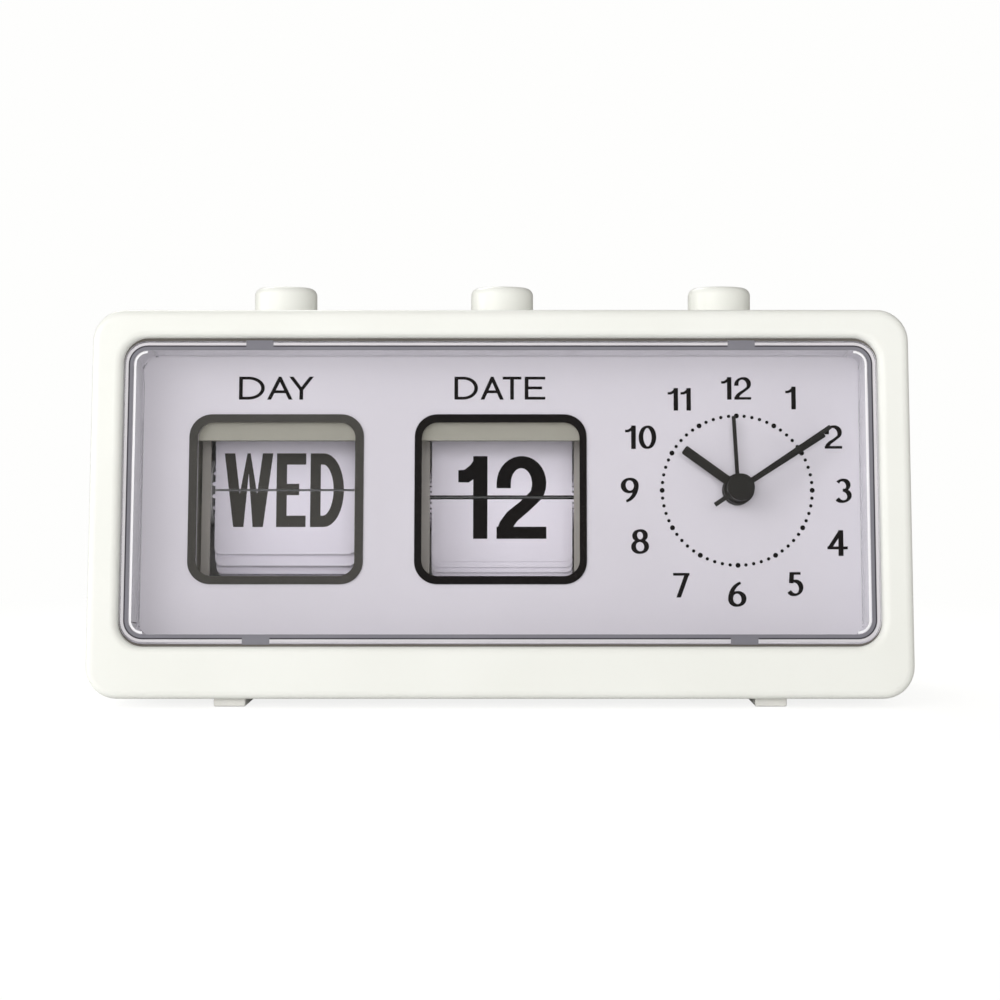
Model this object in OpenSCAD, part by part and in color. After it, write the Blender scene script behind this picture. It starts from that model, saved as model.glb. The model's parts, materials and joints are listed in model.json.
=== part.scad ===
// Flip clock: day and date flip leaves beside an alarm dial, in a leaning case with three push buttons.
// Front faces -Y, +Z is up, the origin is under the middle of the case at the level its feet stand on.

/* [Case] */
// Width of the case
case_w = 180; // [176:1:200]
// Height of the case above its feet
case_h = 85; // [84:1:96]
// Depth of the case at its base
case_d = 64; // [63:1:76]
// Backward lean of the front face in degrees
lean = 6; // [5:0.5:7]
// Corner radius of the case seen from the front
corner_r = 7; // [5:0.5:9]
// Wall thickness of both shells
wall = 2.5; // [2:0.1:2.8]
// Thickness of the front face around the lens
bezel_t = 3; // [2.4:0.1:3.6]
// Depth of the front shell at the foot
front_d = 48; // [47:0.5:50]
// Length of the locating lip on the rear shell
lip_l = 3; // [2:0.5:3.5]
// Thickness of the locating lip
lip_t = 1.2; // [0.8:0.1:1.6]
// Fit clearance between fixed pieces
fit = 0.15; // [0.1:0.05:0.2]
// Running clearance around turning pieces
run = 0.05; // [0.03:0.01:0.08]
// Clearance between pieces that pass each other
pass_gap = 0.3; // [0.25:0.05:0.4]

/* [Feet] */
// Height of a foot
foot_h = 2; // [1.5:0.5:3]
// Width of a foot
foot_w = 7; // [5:0.5:10]
// Length of a foot, front to back
foot_l = 15; // [10:1:20]
// Sideways place of the feet
foot_x = 59; // [50:1:65]
// Setback of the feet from the front and rear edges
foot_in = 4; // [3:0.5:6]

/* [Lens] */
// Margin between the case side and the lens
lens_side = 7; // [6.5:0.5:9]
// Margin below the lens
lens_low = 11.6; // [9:0.1:13]
// Margin above the lens
lens_high = 6.3; // [5:0.1:8]
// Corner radius of the lens
lens_r = 5.3; // [4:0.1:7]
// Depth of the lens face behind the case face
lens_set = 2; // [1:0.1:2.5]
// Thickness of the lens pane
lens_t = 2; // [1.5:0.1:2.4]
// Thickness of the lens side wall
lens_wall = 2.2; // [1.5:0.1:3]
// Width of a snap tab on the lens
tab_w = 6; // [4:0.5:10]
// Sideways places of the snap tabs
tab_x = 56; // [45:1:65]
// Reach of a snap tab behind the front face
tab_out = 0.8; // [0.5:0.1:1.2]

/* [Dial] */
// Depth of the dial plate behind the case face
dial_set = 14; // [13:0.5:15]
// Thickness of the dial plate
dial_t = 1.5; // [1.2:0.1:2]
// Sideways place of the dial centre
dial_x = 53.2; // [52:0.1:54]
// Distance of the dial centre below the upper edge of the front face
dial_drop = 38.868; // [38:0.1:40]
// Width of a window opening
window_w = 36; // [34.5:0.1:36.4]
// Height of a window opening
window_h = 35.2; // [32:0.1:36]
// Corner radius of a window opening
window_r = 3.5; // [2:0.1:5]
// Height of the window centres along the front face
window_z = 44.6; // [44:0.1:45.5]
// Sideways place of the day window
day_x = -50.6; // [-51.5:0.1:-50]
// Sideways place of the date window
date_x = 0; // [-0.5:0.1:0.5]
// Drop of the mask strip below the top of a window
mask_drop = 4.1; // [3:0.1:4.6]

/* [Flip units] */
// Depth of the leaf plane behind the dial face
leaf_set = 16; // [15.6:0.1:16.5]
// Height of the day split line along the front face
day_z = 48.1; // [47.5:0.1:48.6]
// Height of the date split line along the front face
date_z = 46.4; // [46:0.1:47]
// Number of day leaves
day_n = 14; // [14:14:14]
// Number of date leaves
date_n = 31; // [31:31:31]
// Radius of the ring of leaf pivots
pivot_r = 6.5; // [6.3:0.1:6.8]
// Width of a leaf
leaf_w = 32.8; // [31:0.1:33]
// Length of a leaf from the split line to its outer edge
leaf_l = 15; // [14:0.1:15.4]
// Corner radius of a leaf
leaf_r = 1.6; // [1:0.1:2]
// Thickness of a leaf
leaf_t = 0.15; // [0.1:0.01:0.16]
// Gap between the two halves of a card at the split line
split_gap = 0.5; // [0.3:0.05:0.6]
// Radius of a leaf pin
pin_r = 0.25; // [0.2:0.01:0.28]
// Length of the ear between a leaf and its pin
ear_w = 0.5; // [0.4:0.1:0.6]
// Radius of a drum disc
disc_r = 7.6; // [7.4:0.1:7.8]
// Thickness of a drum disc
disc_t = 1.2; // [1:0.1:1.3]
// Radius of the drum hub
hub_r = 3; // [2.5:0.1:3.5]
// Radius of a drum axle
axle_r = 1.5; // [1.2:0.1:1.8]
// Outer radius of a ratchet
ratchet_r = 9; // [8.6:0.1:9.4]
// Depth of a ratchet tooth
ratchet_cut = 0.9; // [0.6:0.1:1.1]
// Thickness of a ratchet
ratchet_t = 1; // [0.8:0.1:1.2]
// Thickness of a chassis cheek
cheek_t = 1.5; // [1.2:0.1:2]
// Depth of a chassis cheek behind the dial plate
cheek_d = 26.5; // [25:0.5:28]
// Thickness of the chassis flange
flange_t = 1.5; // [1.2:0.1:1.8]
// Height of the chassis flange above the top of a window
flange_up = 3.5; // [3:0.5:6]
// Height of the chassis flange below the bottom of a window
flange_low = 4.5; // [4:0.5:6]
// Thickness of a detent spring
detent_t = 0.4; // [0.3:0.05:0.5]

/* [Buttons] */
// Radius of a button
button_r = 7.25; // [6.5:0.05:7.5]
// Height of a button above the case
button_up = 7; // [6:0.5:9]
// Travel of a button
button_travel = 3.5; // [3:0.1:3.8]
// Distance of the button axes behind the lower front edge
button_set = 35.5; // [34:0.5:36]
// Sideways place of the snooze button
snooze_x = 50.8; // [49.5:0.1:52]
// Wall of a button guide tube
tube_t = 1.5; // [1.2:0.1:1.7]
// Depth of a button guide tube under the case top
tube_l = 10.5; // [10:0.1:11]
// Thickness of the shelf that carries a button spring
shelf_t = 1.5; // [1.2:0.1:1.8]
// Length of a button skirt below the case top
skirt_l = 3.5; // [3:0.1:3.8]
// Radius of a button stem
stem_r = 2.5; // [2:0.1:3]
// Radius of the collar that retains a button
collar_r = 4.2; // [3.8:0.1:4.6]
// Thickness of the collar
collar_t = 1.1; // [0.8:0.1:1.3]
// Length of the snooze stem below its collar
snooze_tip = 1.6; // [1.2:0.1:1.8]
// Wall of a button spring
spring_t = 0.8; // [0.6:0.1:1]
// Thickness of a push arm
arm_t = 2; // [1.6:0.1:2.4]

/* [Movement] */
// Width of the movement
move_w = 50; // [49:0.5:54]
// Height of the movement below the dial centre
move_low = 25.6; // [25:0.1:26.5]
// Height of the movement above the dial centre
move_up = 21.4; // [21:0.1:21.8]
// Depth of the movement's front shell
move_front = 8.5; // [8.3:0.1:8.8]
// Depth of the movement's rear shell
move_rear = 7; // [6.8:0.1:7.2]
// Wall of the movement shells
move_t = 1.2; // [1:0.1:1.4]
// Module of the gear teeth
gear_m = 0.5; // [0.48:0.01:0.52]
// Thickness of a gear
gear_t = 1; // [0.8:0.1:1.1]
// Radius of the second arbor
second_r = 0.4; // [0.35:0.01:0.45]
// Wall of each hand pipe
pipe_t = 0.35; // [0.3:0.01:0.4]
// Wall of the centre bush
bush_t = 0.75; // [0.6:0.05:0.9]
// Radius of the centre nut
nut_r = 3.45; // [3.2:0.05:3.8]
// Thickness of the centre nut
nut_t = 1.4; // [1:0.1:1.5]

/* [Hands] */
// Thickness of a hand
hand_t = 0.4; // [0.3:0.05:0.5]
// Thickness of a hand's hub
hub_t = 0.8; // [0.7:0.05:0.9]
// Step from the front of a hub back to its blade
hub_lip = 0.15; // [0.1:0.05:0.3]
// Step between the levels of the hands
hand_pitch = 1.55; // [1.45:0.01:1.6]
// Thickness of the second hand's cap
cap_t = 1.6; // [1.2:0.1:1.8]
// Length of the hour hand
hour_l = 15.1; // [13:0.1:16]
// Width of the hour hand
hour_w = 2.1; // [1.6:0.1:2.4]
// Length of the minute hand
minute_l = 22.5; // [20:0.1:24]
// Width of the minute hand
minute_w = 1.3; // [1:0.1:1.5]
// Length of the alarm hand
alarm_l = 16.6; // [14:0.1:18]
// Width of the alarm hand
alarm_w = 0.85; // [0.6:0.05:1]
// Length of the second hand
second_l = 24.3; // [20:0.1:25]
// Length of the second hand's tail
second_tail = 6.9; // [5:0.1:9]
// Width of the second hand
second_w = 1; // [0.6:0.1:1.2]
// Radius of the second hand's cap
cap_r = 3; // [2.5:0.1:3.4]
// Hour hand at rest, degrees clockwise from twelve
hour_at = -54; // [-180:1:180]
// Minute hand at rest, degrees clockwise from twelve
minute_at = 57.5; // [-180:0.5:180]
// Second hand at rest, degrees clockwise from twelve
second_at = 56; // [-180:1:180]
// Alarm hand at rest, degrees clockwise from twelve
alarm_at = -3; // [-180:1:180]

/* [Back] */
// Depth of the recessed back panel behind the case face
panel_set = 49; // [48.8:0.1:50]
// Thickness of the recessed back panel
panel_t = 2.5; // [2.2:0.1:2.7]
// Margin between the dial centre and the side edges of the recess
recess_x = 29.2; // [29:0.1:29.4]
// Height of the recess below the dial centre
recess_low = 28.6; // [28:0.1:29]
// Height of the recess above the dial centre
recess_up = 27.4; // [26:0.1:28]
// Radius of a setting knob
knob_r = 5.2; // [4.5:0.1:5.6]
// Thickness of a setting knob
knob_t = 6; // [5:0.1:6.4]
// Radius of a setting shaft
shaft_r = 1.2; // [1:0.05:1.4]
// Radius of the battery
battery_r = 7.1; // [6.9:0.1:7.2]
// Length of the battery
battery_l = 49; // [48:0.1:49.4]
// Radius of the battery's end cap
battery_nub_r = 2.7; // [2:0.1:3]
// Length of the battery's end cap
battery_nub = 1; // [0.8:0.1:1.2]
// Height of the battery axis below the dial centre
battery_drop = 15.8; // [15.6:0.1:16]
// Thickness of the battery door
door_t = 1.6; // [1.4:0.1:1.7]
// Radius of the battery door's hinge pins
door_pin_r = 0.7; // [0.6:0.05:0.75]
// Travel of the alarm switch
switch_travel = 4; // [3:0.1:4.5]
// Sideways distance of the alarm switch from the dial centre
switch_x = 14; // [13:0.5:15]
// Height of the alarm switch above the dial centre
switch_z = 17; // [15:0.5:18]

/* [Fasteners] */
// Distance of the case screws from the case edges
boss_in = 5; // [4.6:0.1:5.4]
// Radius of a case screw boss
boss_r = 3.4; // [3.2:0.1:3.8]
// Length of a case screw boss in the front shell
boss_l = 20; // [14:1:22]
// Radius of a case screw
screw_r = 1.3; // [1:0.1:1.5]
// Radius of a case screw head
head_r = 2.4; // [2:0.1:2.5]
// Thickness of a screw head
head_t = 1.6; // [1:0.1:2]
// Depth of a case screw head below the back face
head_in = 6; // [4:0.5:8]
// Radius of a small screw
small_r = 0.9; // [0.7:0.05:1]
// Radius of a small screw's head
small_head_r = 1.8; // [1.4:0.1:2]

/* [Hidden] */
$fn = 48;

// Case levels, in the frame of the whole clock
top_z = foot_h + case_h;
front_y = -case_d / 2;
back_y = case_d / 2;
split_y = front_y + front_d;
far = 2 * case_w;

// Levels behind the front face, in the leaning frame
face_h = case_h / cos(lean);
lens_w = case_w - 2 * lens_side;
lens_h = face_h - lens_low - lens_high;
lens_z = lens_low + lens_h / 2;
dial_z = face_h - dial_drop;
dial_back = dial_set + dial_t;
dial_edge = 1;
leaf_y = dial_set + leaf_set;
window_top = window_z + window_h / 2;
window_low = window_z - window_h / 2;

// Leaf rings: step between leaves, depth and height of the front pivots
function step(n) = 360 / n;
function pivot_in(n) = pivot_r * cos(step(n) / 2);
function pivot_up(n) = pivot_r * sin(step(n) / 2);
function axle_y(n) = leaf_y + pivot_in(n);
function fan_n(n) = floor(n / 2) - 1 + n % 2;

// Stations along a drum, from the middle of its unit outwards
disc_in = leaf_w / 2 + ear_w + fit;
disc_out = disc_in + disc_t;
ratchet_out = disc_out + ratchet_t;
cheek_in = ratchet_out + 2 * pass_gap;
cheek_out = cheek_in + cheek_t;
ear_h = 0.9;
lug_x = cheek_out + small_head_r + pass_gap;
lug_end = lug_x + small_head_r + fit;

// Buttons
button_y = front_y + button_set;
shelf_z = top_z - tube_l;
skirt_z = top_z - skirt_l;
collar_z = shelf_z - fit;
collar_low = collar_z - collar_t;

// Hand pipes, each running round the one inside it
minute_r = second_r + run + pipe_t;
hour_r = minute_r + run + pipe_t;
alarm_r = hour_r + run + pipe_t;
bush_r = alarm_r + run + bush_t;
bush_y = dial_set - nut_t - fit;
alarm_y = bush_y - pass_gap - hub_t;
hour_y = alarm_y - hand_pitch;
minute_y = hour_y - hand_pitch;
second_y = minute_y - hand_pitch;

// Gear levels behind the movement's front wall
shell_y = dial_back + move_t;
seam_y = dial_back + move_front;
move_back = seam_y + move_rear;
alarm_gear_y = shell_y + 0.5;
hour_gear_y = alarm_gear_y + gear_t + 0.8;
motion_gear_y = hour_gear_y + gear_t + 1.4;
second_gear_y = motion_gear_y + gear_t + 2;
gear_gap = 20 * gear_m;
minute_teeth = 10;
motion_teeth = 30;
motion_pinion_teeth = 8;
hour_teeth = 32;
alarm_teeth = 28;
alarm_pinion_teeth = 12;
second_teeth = 24;
post_r = 0.55;
motion_z = dial_z + gear_gap;
time_dir = 150;
alarm_dir = 20;
time_x = dial_x + gear_gap * cos(time_dir);
time_z = motion_z + gear_gap * sin(time_dir);
alarm_x = dial_x + gear_gap * cos(alarm_dir);
alarm_z = dial_z + gear_gap * sin(alarm_dir);
pivot_end = move_back - move_t - 1;
board_y = move_back - move_t - 2.8;
board_t = 1.2;
board_w = move_w - 10;
board_h = 11;
board_z = dial_z - move_low + move_t + pass_gap;
coil_w = 26;
coil_h = 8;
coil_d = 6;
coil_flange = 1.2;

// Back panel, battery and switch
panel_in = panel_set - panel_t;
battery_z = dial_z - battery_drop;
battery_y = panel_set - door_t - 0.2 - battery_r;
contact_t = 0.4;
bay_t = 1.2;
bay_x = battery_l / 2 + battery_nub + contact_t + fit;
bay_h = battery_r + 0.4;
bay_y = battery_y - battery_r - fit;
door_x = bay_x - pass_gap;
hinge_y = panel_set - door_t / 2;
hinge_z = battery_z - bay_h + pass_gap + door_t / 2;
pin_in = 1.2;
knob_y = panel_set + pass_gap;
slot_x = dial_x + switch_x;
slot_z = dial_z + switch_z;
nub = 1.2;
buzzer_x = -25;
buzzer_r = 8;
buzzer_t = 3;
buzzer_z = top_z - wall - lip_t - buzzer_r - 2;

// The leaning frame: its origin is the lower front edge, +Y runs inwards, +Z runs up the front face
module front_frame() {
    translate([0, front_y, foot_h]) rotate([-lean, 0, 0]) children();
}
function lean_y(y, z) = front_y + y * cos(lean) + z * sin(lean);
function lean_z(y, z) = foot_h - y * sin(lean) + z * cos(lean);

module box(x0, x1, y0, y1, z0, z1) {
    translate([x0, y0, z0]) cube([x1 - x0, y1 - y0, z1 - z0]);
}
module rounded(w, h, r) {
    square([w - 2 * r, h], center = true);
    square([w, h - 2 * r], center = true);
    for (sx = [-1, 1], sz = [-1, 1])
        translate([sx * (w / 2 - r), sz * (h / 2 - r)]) circle(r);
}
module plate(x, z, w, h, r, y0, y1) {
    translate([x, y1, z]) rotate([90, 0, 0]) linear_extrude(y1 - y0) rounded(w, h, r);
}
module rod_x(y, z, r, x0, x1) {
    translate([x0, y, z]) rotate([0, 90, 0]) cylinder(h = x1 - x0, r = r);
}
module rod_y(x, z, r, y0, y1) {
    translate([x, y0, z]) rotate([-90, 0, 0]) cylinder(h = y1 - y0, r = r);
}
module rod_z(x, y, r, z0, z1) {
    translate([x, y, z0]) cylinder(h = z1 - z0, r = r);
}
// Gear outline with a tooth centred on the angle given
module gear_shape(teeth, at) {
    pitch = teeth * gear_m / 2;
    tip = pitch + 0.8 * gear_m;
    root = pitch - 1.15 * gear_m;
    polygon([for (i = [0 : teeth - 1], k = [[-0.27, root], [-0.11, tip], [0.11, tip], [0.27, root]])
        let (a = at + (i + k[0]) * 360 / teeth) [k[1] * cos(a), k[1] * sin(a)]]);
}
module gear(x, z, teeth, at, y0, y1) {
    translate([x, y1, z]) rotate([90, 0, 0]) linear_extrude(y1 - y0) gear_shape(teeth, at);
}

// Case
module case_block(inset, face_inset, y0, y1) {
    intersection() {
        plate(0, foot_h + case_h / 2, case_w - 2 * inset, case_h - 2 * inset, corner_r - inset, y0, y1);
        front_frame() box(-far, far, face_inset, far, -far, far);
    }
}
function button_xs() = [day_x, date_x, snooze_x];
function boss_zs() = [foot_h + boss_in, top_z - boss_in];
module at_bosses() {
    for (sx = [-1, 1], z = boss_zs()) translate([sx * (case_w / 2 - boss_in), 0, z]) children();
}
module front_case() {
    color("white") difference() {
        union() {
            difference() {
                case_block(0, 0, front_y, split_y);
                case_block(wall, bezel_t, front_y, back_y);
            }
            intersection() {
                case_block(wall / 2, bezel_t / 2, front_y, split_y);
                union() {
                    front_frame() for (s = [0, 1]) mirror([s, 0, 0])
                        box(lens_w / 2 + 2 * fit, case_w, bezel_t / 2, dial_set, lens_low, lens_low + lens_h);
                    for (x = button_xs())
                        rod_z(x, button_y, button_r + pass_gap + tube_t, shelf_z, top_z - wall / 2);
                    at_bosses() rod_y(0, 0, boss_r, split_y - boss_l, split_y);
                }
            }
        }
        front_frame() plate(0, lens_z, lens_w + 2 * fit, lens_h + 2 * fit, lens_r + fit, -1, bezel_t + 1);
        for (x = button_xs()) {
            rod_z(x, button_y, button_r + pass_gap, shelf_z + shelf_t, top_z + 1);
            rod_z(x, button_y, stem_r + pass_gap, shelf_z - 1, top_z);
        }
        at_bosses() rod_y(0, 0, screw_r + run, split_y - boss_l + 2, split_y + 1);
    }
}
module recess_box(grow, y0) {
    front_frame() box(dial_x - recess_x - grow, dial_x + recess_x + grow, y0, far,
        dial_z - recess_low - grow, dial_z + recess_up + grow);
}
module rear_case() {
    color("white") difference() {
        union() {
            difference() {
                case_block(0, 0, split_y, back_y);
                case_block(wall, bezel_t, front_y, back_y - wall);
            }
            difference() {
                case_block(wall + fit, 0, split_y - lip_l, split_y + wall);
                case_block(wall + fit + lip_t, 0, split_y - far, split_y + far);
                at_bosses() rod_y(0, 0, boss_r + fit, split_y - lip_l - 1, split_y);
            }
            intersection() {
                case_block(wall / 2, 0, front_y, back_y - wall / 2);
                union() {
                    recess_box(wall, panel_in);
                    at_bosses() rod_y(0, 0, boss_r, split_y, back_y);
                }
            }
            front_frame() box(dial_x - bay_x - bay_t, dial_x + bay_x + bay_t, bay_y - bay_t, panel_in + 0.5,
                battery_z - bay_h - bay_t, battery_z + bay_h + bay_t);
        }
        recess_box(0, panel_set);
        front_frame() {
            box(dial_x - bay_x, dial_x + bay_x, bay_y, panel_set + 1, battery_z - bay_h, battery_z + bay_h);
            rod_x(hinge_y, hinge_z, door_pin_r + run, dial_x - bay_x - pin_in - fit, dial_x + bay_x + pin_in + fit);
            rod_y(time_x, time_z, shaft_r + pass_gap, panel_in - 1, panel_set + 1);
            rod_y(alarm_x, alarm_z, shaft_r + pass_gap, panel_in - 1, panel_set + 1);
            box(slot_x - nub - pass_gap, slot_x + nub + pass_gap + switch_travel, panel_in - 1, panel_set + 1,
                slot_z - nub - pass_gap, slot_z + nub + pass_gap);
        }
        at_bosses() rod_y(0, 0, screw_r + fit, split_y - 1, back_y + 1);
        at_bosses() rod_y(0, 0, head_r + fit, back_y - head_in, back_y + 1);
        for (i = [0 : 6]) {
            out = i == 0 ? 0 : buzzer_r / 2;
            rod_y(buzzer_x + out * cos(60 * i), buzzer_z + out * sin(60 * i), buzzer_r / 10, back_y - wall - 1,
                back_y + 1);
        }
    }
}
module front_lens() {
    color("lightcyan", 0.4) front_frame() {
        difference() {
            plate(0, lens_z, lens_w, lens_h, lens_r, lens_set, dial_set);
            plate(0, lens_z, lens_w - 2 * lens_wall, lens_h - 2 * lens_wall, lens_r - lens_wall,
                lens_set + lens_t, dial_set + 1);
        }
        for (x = [-tab_x, tab_x], s = [0, 1])
            translate([x, 0, lens_z]) mirror([0, 0, s])
                box(-tab_w / 2, tab_w / 2, bezel_t, bezel_t + 2 * tab_out, lens_h / 2 - tab_out,
                    lens_h / 2 + fit + tab_out);
    }
}
module dial_plate() {
    dial_w = case_w - 2 * wall - 2 * fit - dial_edge;
    dial_low = lens_low - lens_wall - 2;
    dial_high = lens_low + lens_h + 2;
    color("gainsboro") front_frame() difference() {
        plate(0, (dial_low + dial_high) / 2, dial_w, dial_high - dial_low, lens_r, dial_set, dial_back);
        for (x = [day_x, date_x])
            plate(x, window_z, window_w, window_h, window_r, dial_set - 1, dial_back + 1);
        rod_y(dial_x, dial_z, bush_r + run, dial_set - 1, dial_back + 1);
        at_chassis_screws() rod_y(0, 0, small_r + run, dial_set + dial_t / 3, dial_back + 1);
    }
}
module feet() {
    color("silver") for (sx = [-1, 1], sy = [-1, 1])
        translate([sx * foot_x, sy * (case_d / 2 - foot_in - foot_l / 2), foot_h / 2])
            cube([foot_w, foot_l, foot_h], center = true);
}
module case_screws() {
    color("dimgray") at_bosses() {
        rod_y(0, 0, screw_r, split_y - boss_l / 2, back_y - head_in);
        difference() {
            rod_y(0, 0, head_r, back_y - head_in, back_y - head_in + head_t);
            for (a = [0, 90]) rotate([0, a, 0])
                box(-head_r * 0.6, head_r * 0.6, back_y - head_in + head_t / 2, back_y, -head_r / 6, head_r / 6);
        }
    }
}

// Flip units
module at_chassis_screws() {
    for (x = [day_x - lug_x, date_x + lug_x], z = [window_low - flange_low / 2, window_top + flange_up / 2])
        translate([x, 0, z]) children();
}
module flip_chassis() {
    flange_y = dial_back + flange_t;
    color("gainsboro") front_frame() difference() {
        union() {
            box(day_x - lug_end, date_x + lug_end, dial_back, flange_y, window_low - flange_low,
                window_top + flange_up);
            for (x = [day_x, date_x], s = [-cheek_out, cheek_in])
                box(x + s, x + s + cheek_t, dial_back, dial_back + cheek_d, window_low - flange_low,
                    window_top + flange_up);
        }
        for (x = [day_x, date_x])
            box(x - cheek_in, x + cheek_in, dial_back - 1, flange_y + 1, window_low - fit, window_top - mask_drop);
        rod_x(axle_y(day_n), day_z, axle_r + run, day_x - far, (day_x + date_x) / 2);
        rod_x(axle_y(date_n), date_z, axle_r + run, (day_x + date_x) / 2, far);
        at_chassis_screws() rod_y(0, 0, small_r + run, dial_back - 1, flange_y + 1);
    }
}
module chassis_screws() {
    flange_y = dial_back + flange_t;
    color("silver") front_frame() at_chassis_screws() {
        rod_y(0, 0, small_r, dial_set + dial_t / 2, flange_y);
        rod_y(0, 0, small_head_r, flange_y, flange_y + head_t / 2);
    }
}
module axle(x, z, n) {
    color("silver") front_frame() rod_x(axle_y(n), z, axle_r, x - cheek_out, x + cheek_out);
}
module drum(x, z, n) {
    color("whitesmoke") front_frame() translate([x, axle_y(n), z]) difference() {
        union() {
            rod_x(0, 0, hub_r, -disc_out, disc_out);
            for (s = [0, 1]) mirror([s, 0, 0]) rod_x(0, 0, disc_r, disc_in, disc_out);
        }
        rod_x(0, 0, axle_r + run, -far, far);
        for (i = [0 : n - 1]) rotate([-step(n) * i, 0, 0])
            rod_x(-pivot_in(n), pivot_up(n), pin_r + run, -far, far);
    }
}
module ratchet(x, z, n) {
    color("silver") front_frame() translate([x + disc_out, axle_y(n), z])
        rotate([90, 0, 90]) linear_extrude(ratchet_t) difference() {
            polygon([for (i = [0 : n - 1], k = [[0, ratchet_r], [0.2, ratchet_r - ratchet_cut]])
                let (a = (i + k[0]) * step(n)) [k[1] * cos(a), k[1] * sin(a)]]);
            circle(axle_r + run);
        }
}
// One leaf standing up from its pivot, which is at the origin
module leaf(n) {
    heel = pivot_up(n) - split_gap / 2;
    top = leaf_l - pivot_up(n);
    pin_x = disc_in + disc_t * 0.8;
    union() {
        box(-leaf_w / 2, leaf_w / 2, -leaf_t / 2, leaf_t / 2, -heel, top - leaf_r);
        box(leaf_r - leaf_w / 2, leaf_w / 2 - leaf_r, -leaf_t / 2, leaf_t / 2, -heel, top);
        for (s = [-1, 1]) rod_y(s * (leaf_w / 2 - leaf_r), top - leaf_r, leaf_r, -leaf_t / 2, leaf_t / 2);
        box(-leaf_w / 2 - ear_w, leaf_w / 2 + ear_w, -leaf_t / 2, leaf_t / 2, -ear_h / 2, ear_h / 2);
        for (s = [0, 1]) mirror([s, 0, 0]) rod_x(0, 0, pin_r, leaf_w / 2 + ear_w / 2, pin_x);
    }
}
module leaf_up(n, i) {
    rotate([-step(n) * i, 0, 0]) translate([0, -pivot_in(n), pivot_up(n)]) leaf(n);
}
module leaf_down(n, i) {
    a = step(n) * (i + 0.5);
    translate([0, -pivot_r * cos(a), pivot_r * sin(a)]) mirror([0, 0, 1]) leaf(n);
}
module leaves(x, z, n) {
    color("lavender") front_frame() translate([x, axle_y(n), z]) {
        for (i = [1 : fan_n(n)]) leaf_up(n, i);
        for (i = [fan_n(n) + 1 : n - 1]) leaf_down(n, i);
    }
}
module flip_leaf(x, z, n) {
    color("lavender") front_frame() translate([x, axle_y(n), z]) leaf_up(n, 0);
}
module detent_spring(x, z, n) {
    flange_y = dial_back + flange_t;
    top = z - ratchet_r - pass_gap;
    color("goldenrod") front_frame() {
        box(x + disc_out, x + ratchet_out, flange_y, flange_y + detent_t, window_low - flange_low, top);
        box(x + disc_out, x + ratchet_out, flange_y, axle_y(n) + ratchet_r / 2, top - detent_t, top);
    }
}

// Buttons
module button(x, tip) {
    color("white") {
        rod_z(x, button_y, button_r, skirt_z, top_z + button_up);
        rod_z(x, button_y, stem_r, collar_low - tip, skirt_z + 1);
        rod_z(x, button_y, collar_r, collar_low, collar_z);
    }
}
module button_spring(x) {
    color("silver") difference() {
        rod_z(x, button_y, collar_r + spring_t, shelf_z + shelf_t, skirt_z);
        rod_z(x, button_y, collar_r, shelf_z, skirt_z + 1);
    }
}
module push_arm(x, z, n) {
    leg_y = lean_y(axle_y(n), z) - ratchet_r - pass_gap;
    tip_z = lean_z(axle_y(n), z) + button_travel;
    color("gainsboro") {
        box(x - stem_r, x + ratchet_out, leg_y - arm_t, button_y + stem_r, collar_low - arm_t, collar_low);
        box(x + disc_out, x + ratchet_out, leg_y - arm_t, leg_y, tip_z, collar_low - arm_t / 2);
    }
}
module snooze_switch() {
    seat_z = dial_z + move_up;
    seat_y = (button_y - front_y - seat_z * sin(lean)) / cos(lean);
    body = 3;
    color("dimgray") front_frame() {
        box(snooze_x - body, snooze_x + body, seat_y - body, seat_y + body - 1, seat_z, seat_z + body - 0.8);
        rod_z(snooze_x, seat_y, stem_r / 2, seat_z, seat_z + body - 0.2);
    }
}

// Movement
module shell_box(y0, y1, inset) {
    box(dial_x - move_w / 2 + inset, dial_x + move_w / 2 - inset, y0, y1, dial_z - move_low + inset,
        dial_z + move_up - inset);
}
module at_movement_screws() {
    for (sx = [-1, 1], z = [dial_z - move_low + 4, dial_z + move_up - 4])
        translate([dial_x + sx * (move_w / 2 - 4), 0, z]) children();
}
module movement_front_shell() {
    color("black") front_frame() difference() {
        union() {
            difference() {
                shell_box(dial_back, seam_y, 0);
                shell_box(shell_y, seam_y + 1, move_t);
            }
            rod_y(dial_x, dial_z, bush_r, bush_y, shell_y);
            rod_y(dial_x, motion_z, post_r, shell_y - 0.5, motion_gear_y + gear_t + 0.3);
            at_movement_screws() rod_y(0, 0, small_head_r, shell_y - 0.5, seam_y);
        }
        rod_y(dial_x, dial_z, alarm_r + run, bush_y - 1, shell_y + 1);
        at_movement_screws() rod_y(0, 0, small_r + run, shell_y + 1, seam_y + 1);
    }
}
module movement_rear_shell() {
    wall_y = move_back - move_t;
    color("black") front_frame() difference() {
        union() {
            difference() {
                shell_box(seam_y, move_back, 0);
                shell_box(seam_y - 1, wall_y, move_t);
            }
            rod_y(dial_x, dial_z, 1.5, second_gear_y + gear_t + 0.5, wall_y + 0.5);
            for (sx = [-1, 1])
                rod_y(dial_x + sx * board_w * 0.3, board_z + board_h / 2, 2, board_y + board_t, wall_y + 0.5);
        }
        rod_y(dial_x, dial_z, second_r + run, seam_y - 1, pivot_end + fit);
        rod_y(time_x, time_z, shaft_r + run, seam_y, move_back + 1);
        rod_y(alarm_x, alarm_z, shaft_r + run, seam_y, move_back + 1);
        at_movement_screws() rod_y(0, 0, small_r + run, seam_y, move_back + 1);
    }
}
module movement_screws() {
    color("silver") front_frame() at_movement_screws() {
        rod_y(0, 0, small_r, shell_y + 2, move_back);
        rod_y(0, 0, small_head_r, move_back, move_back + 0.5);
    }
}
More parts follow.
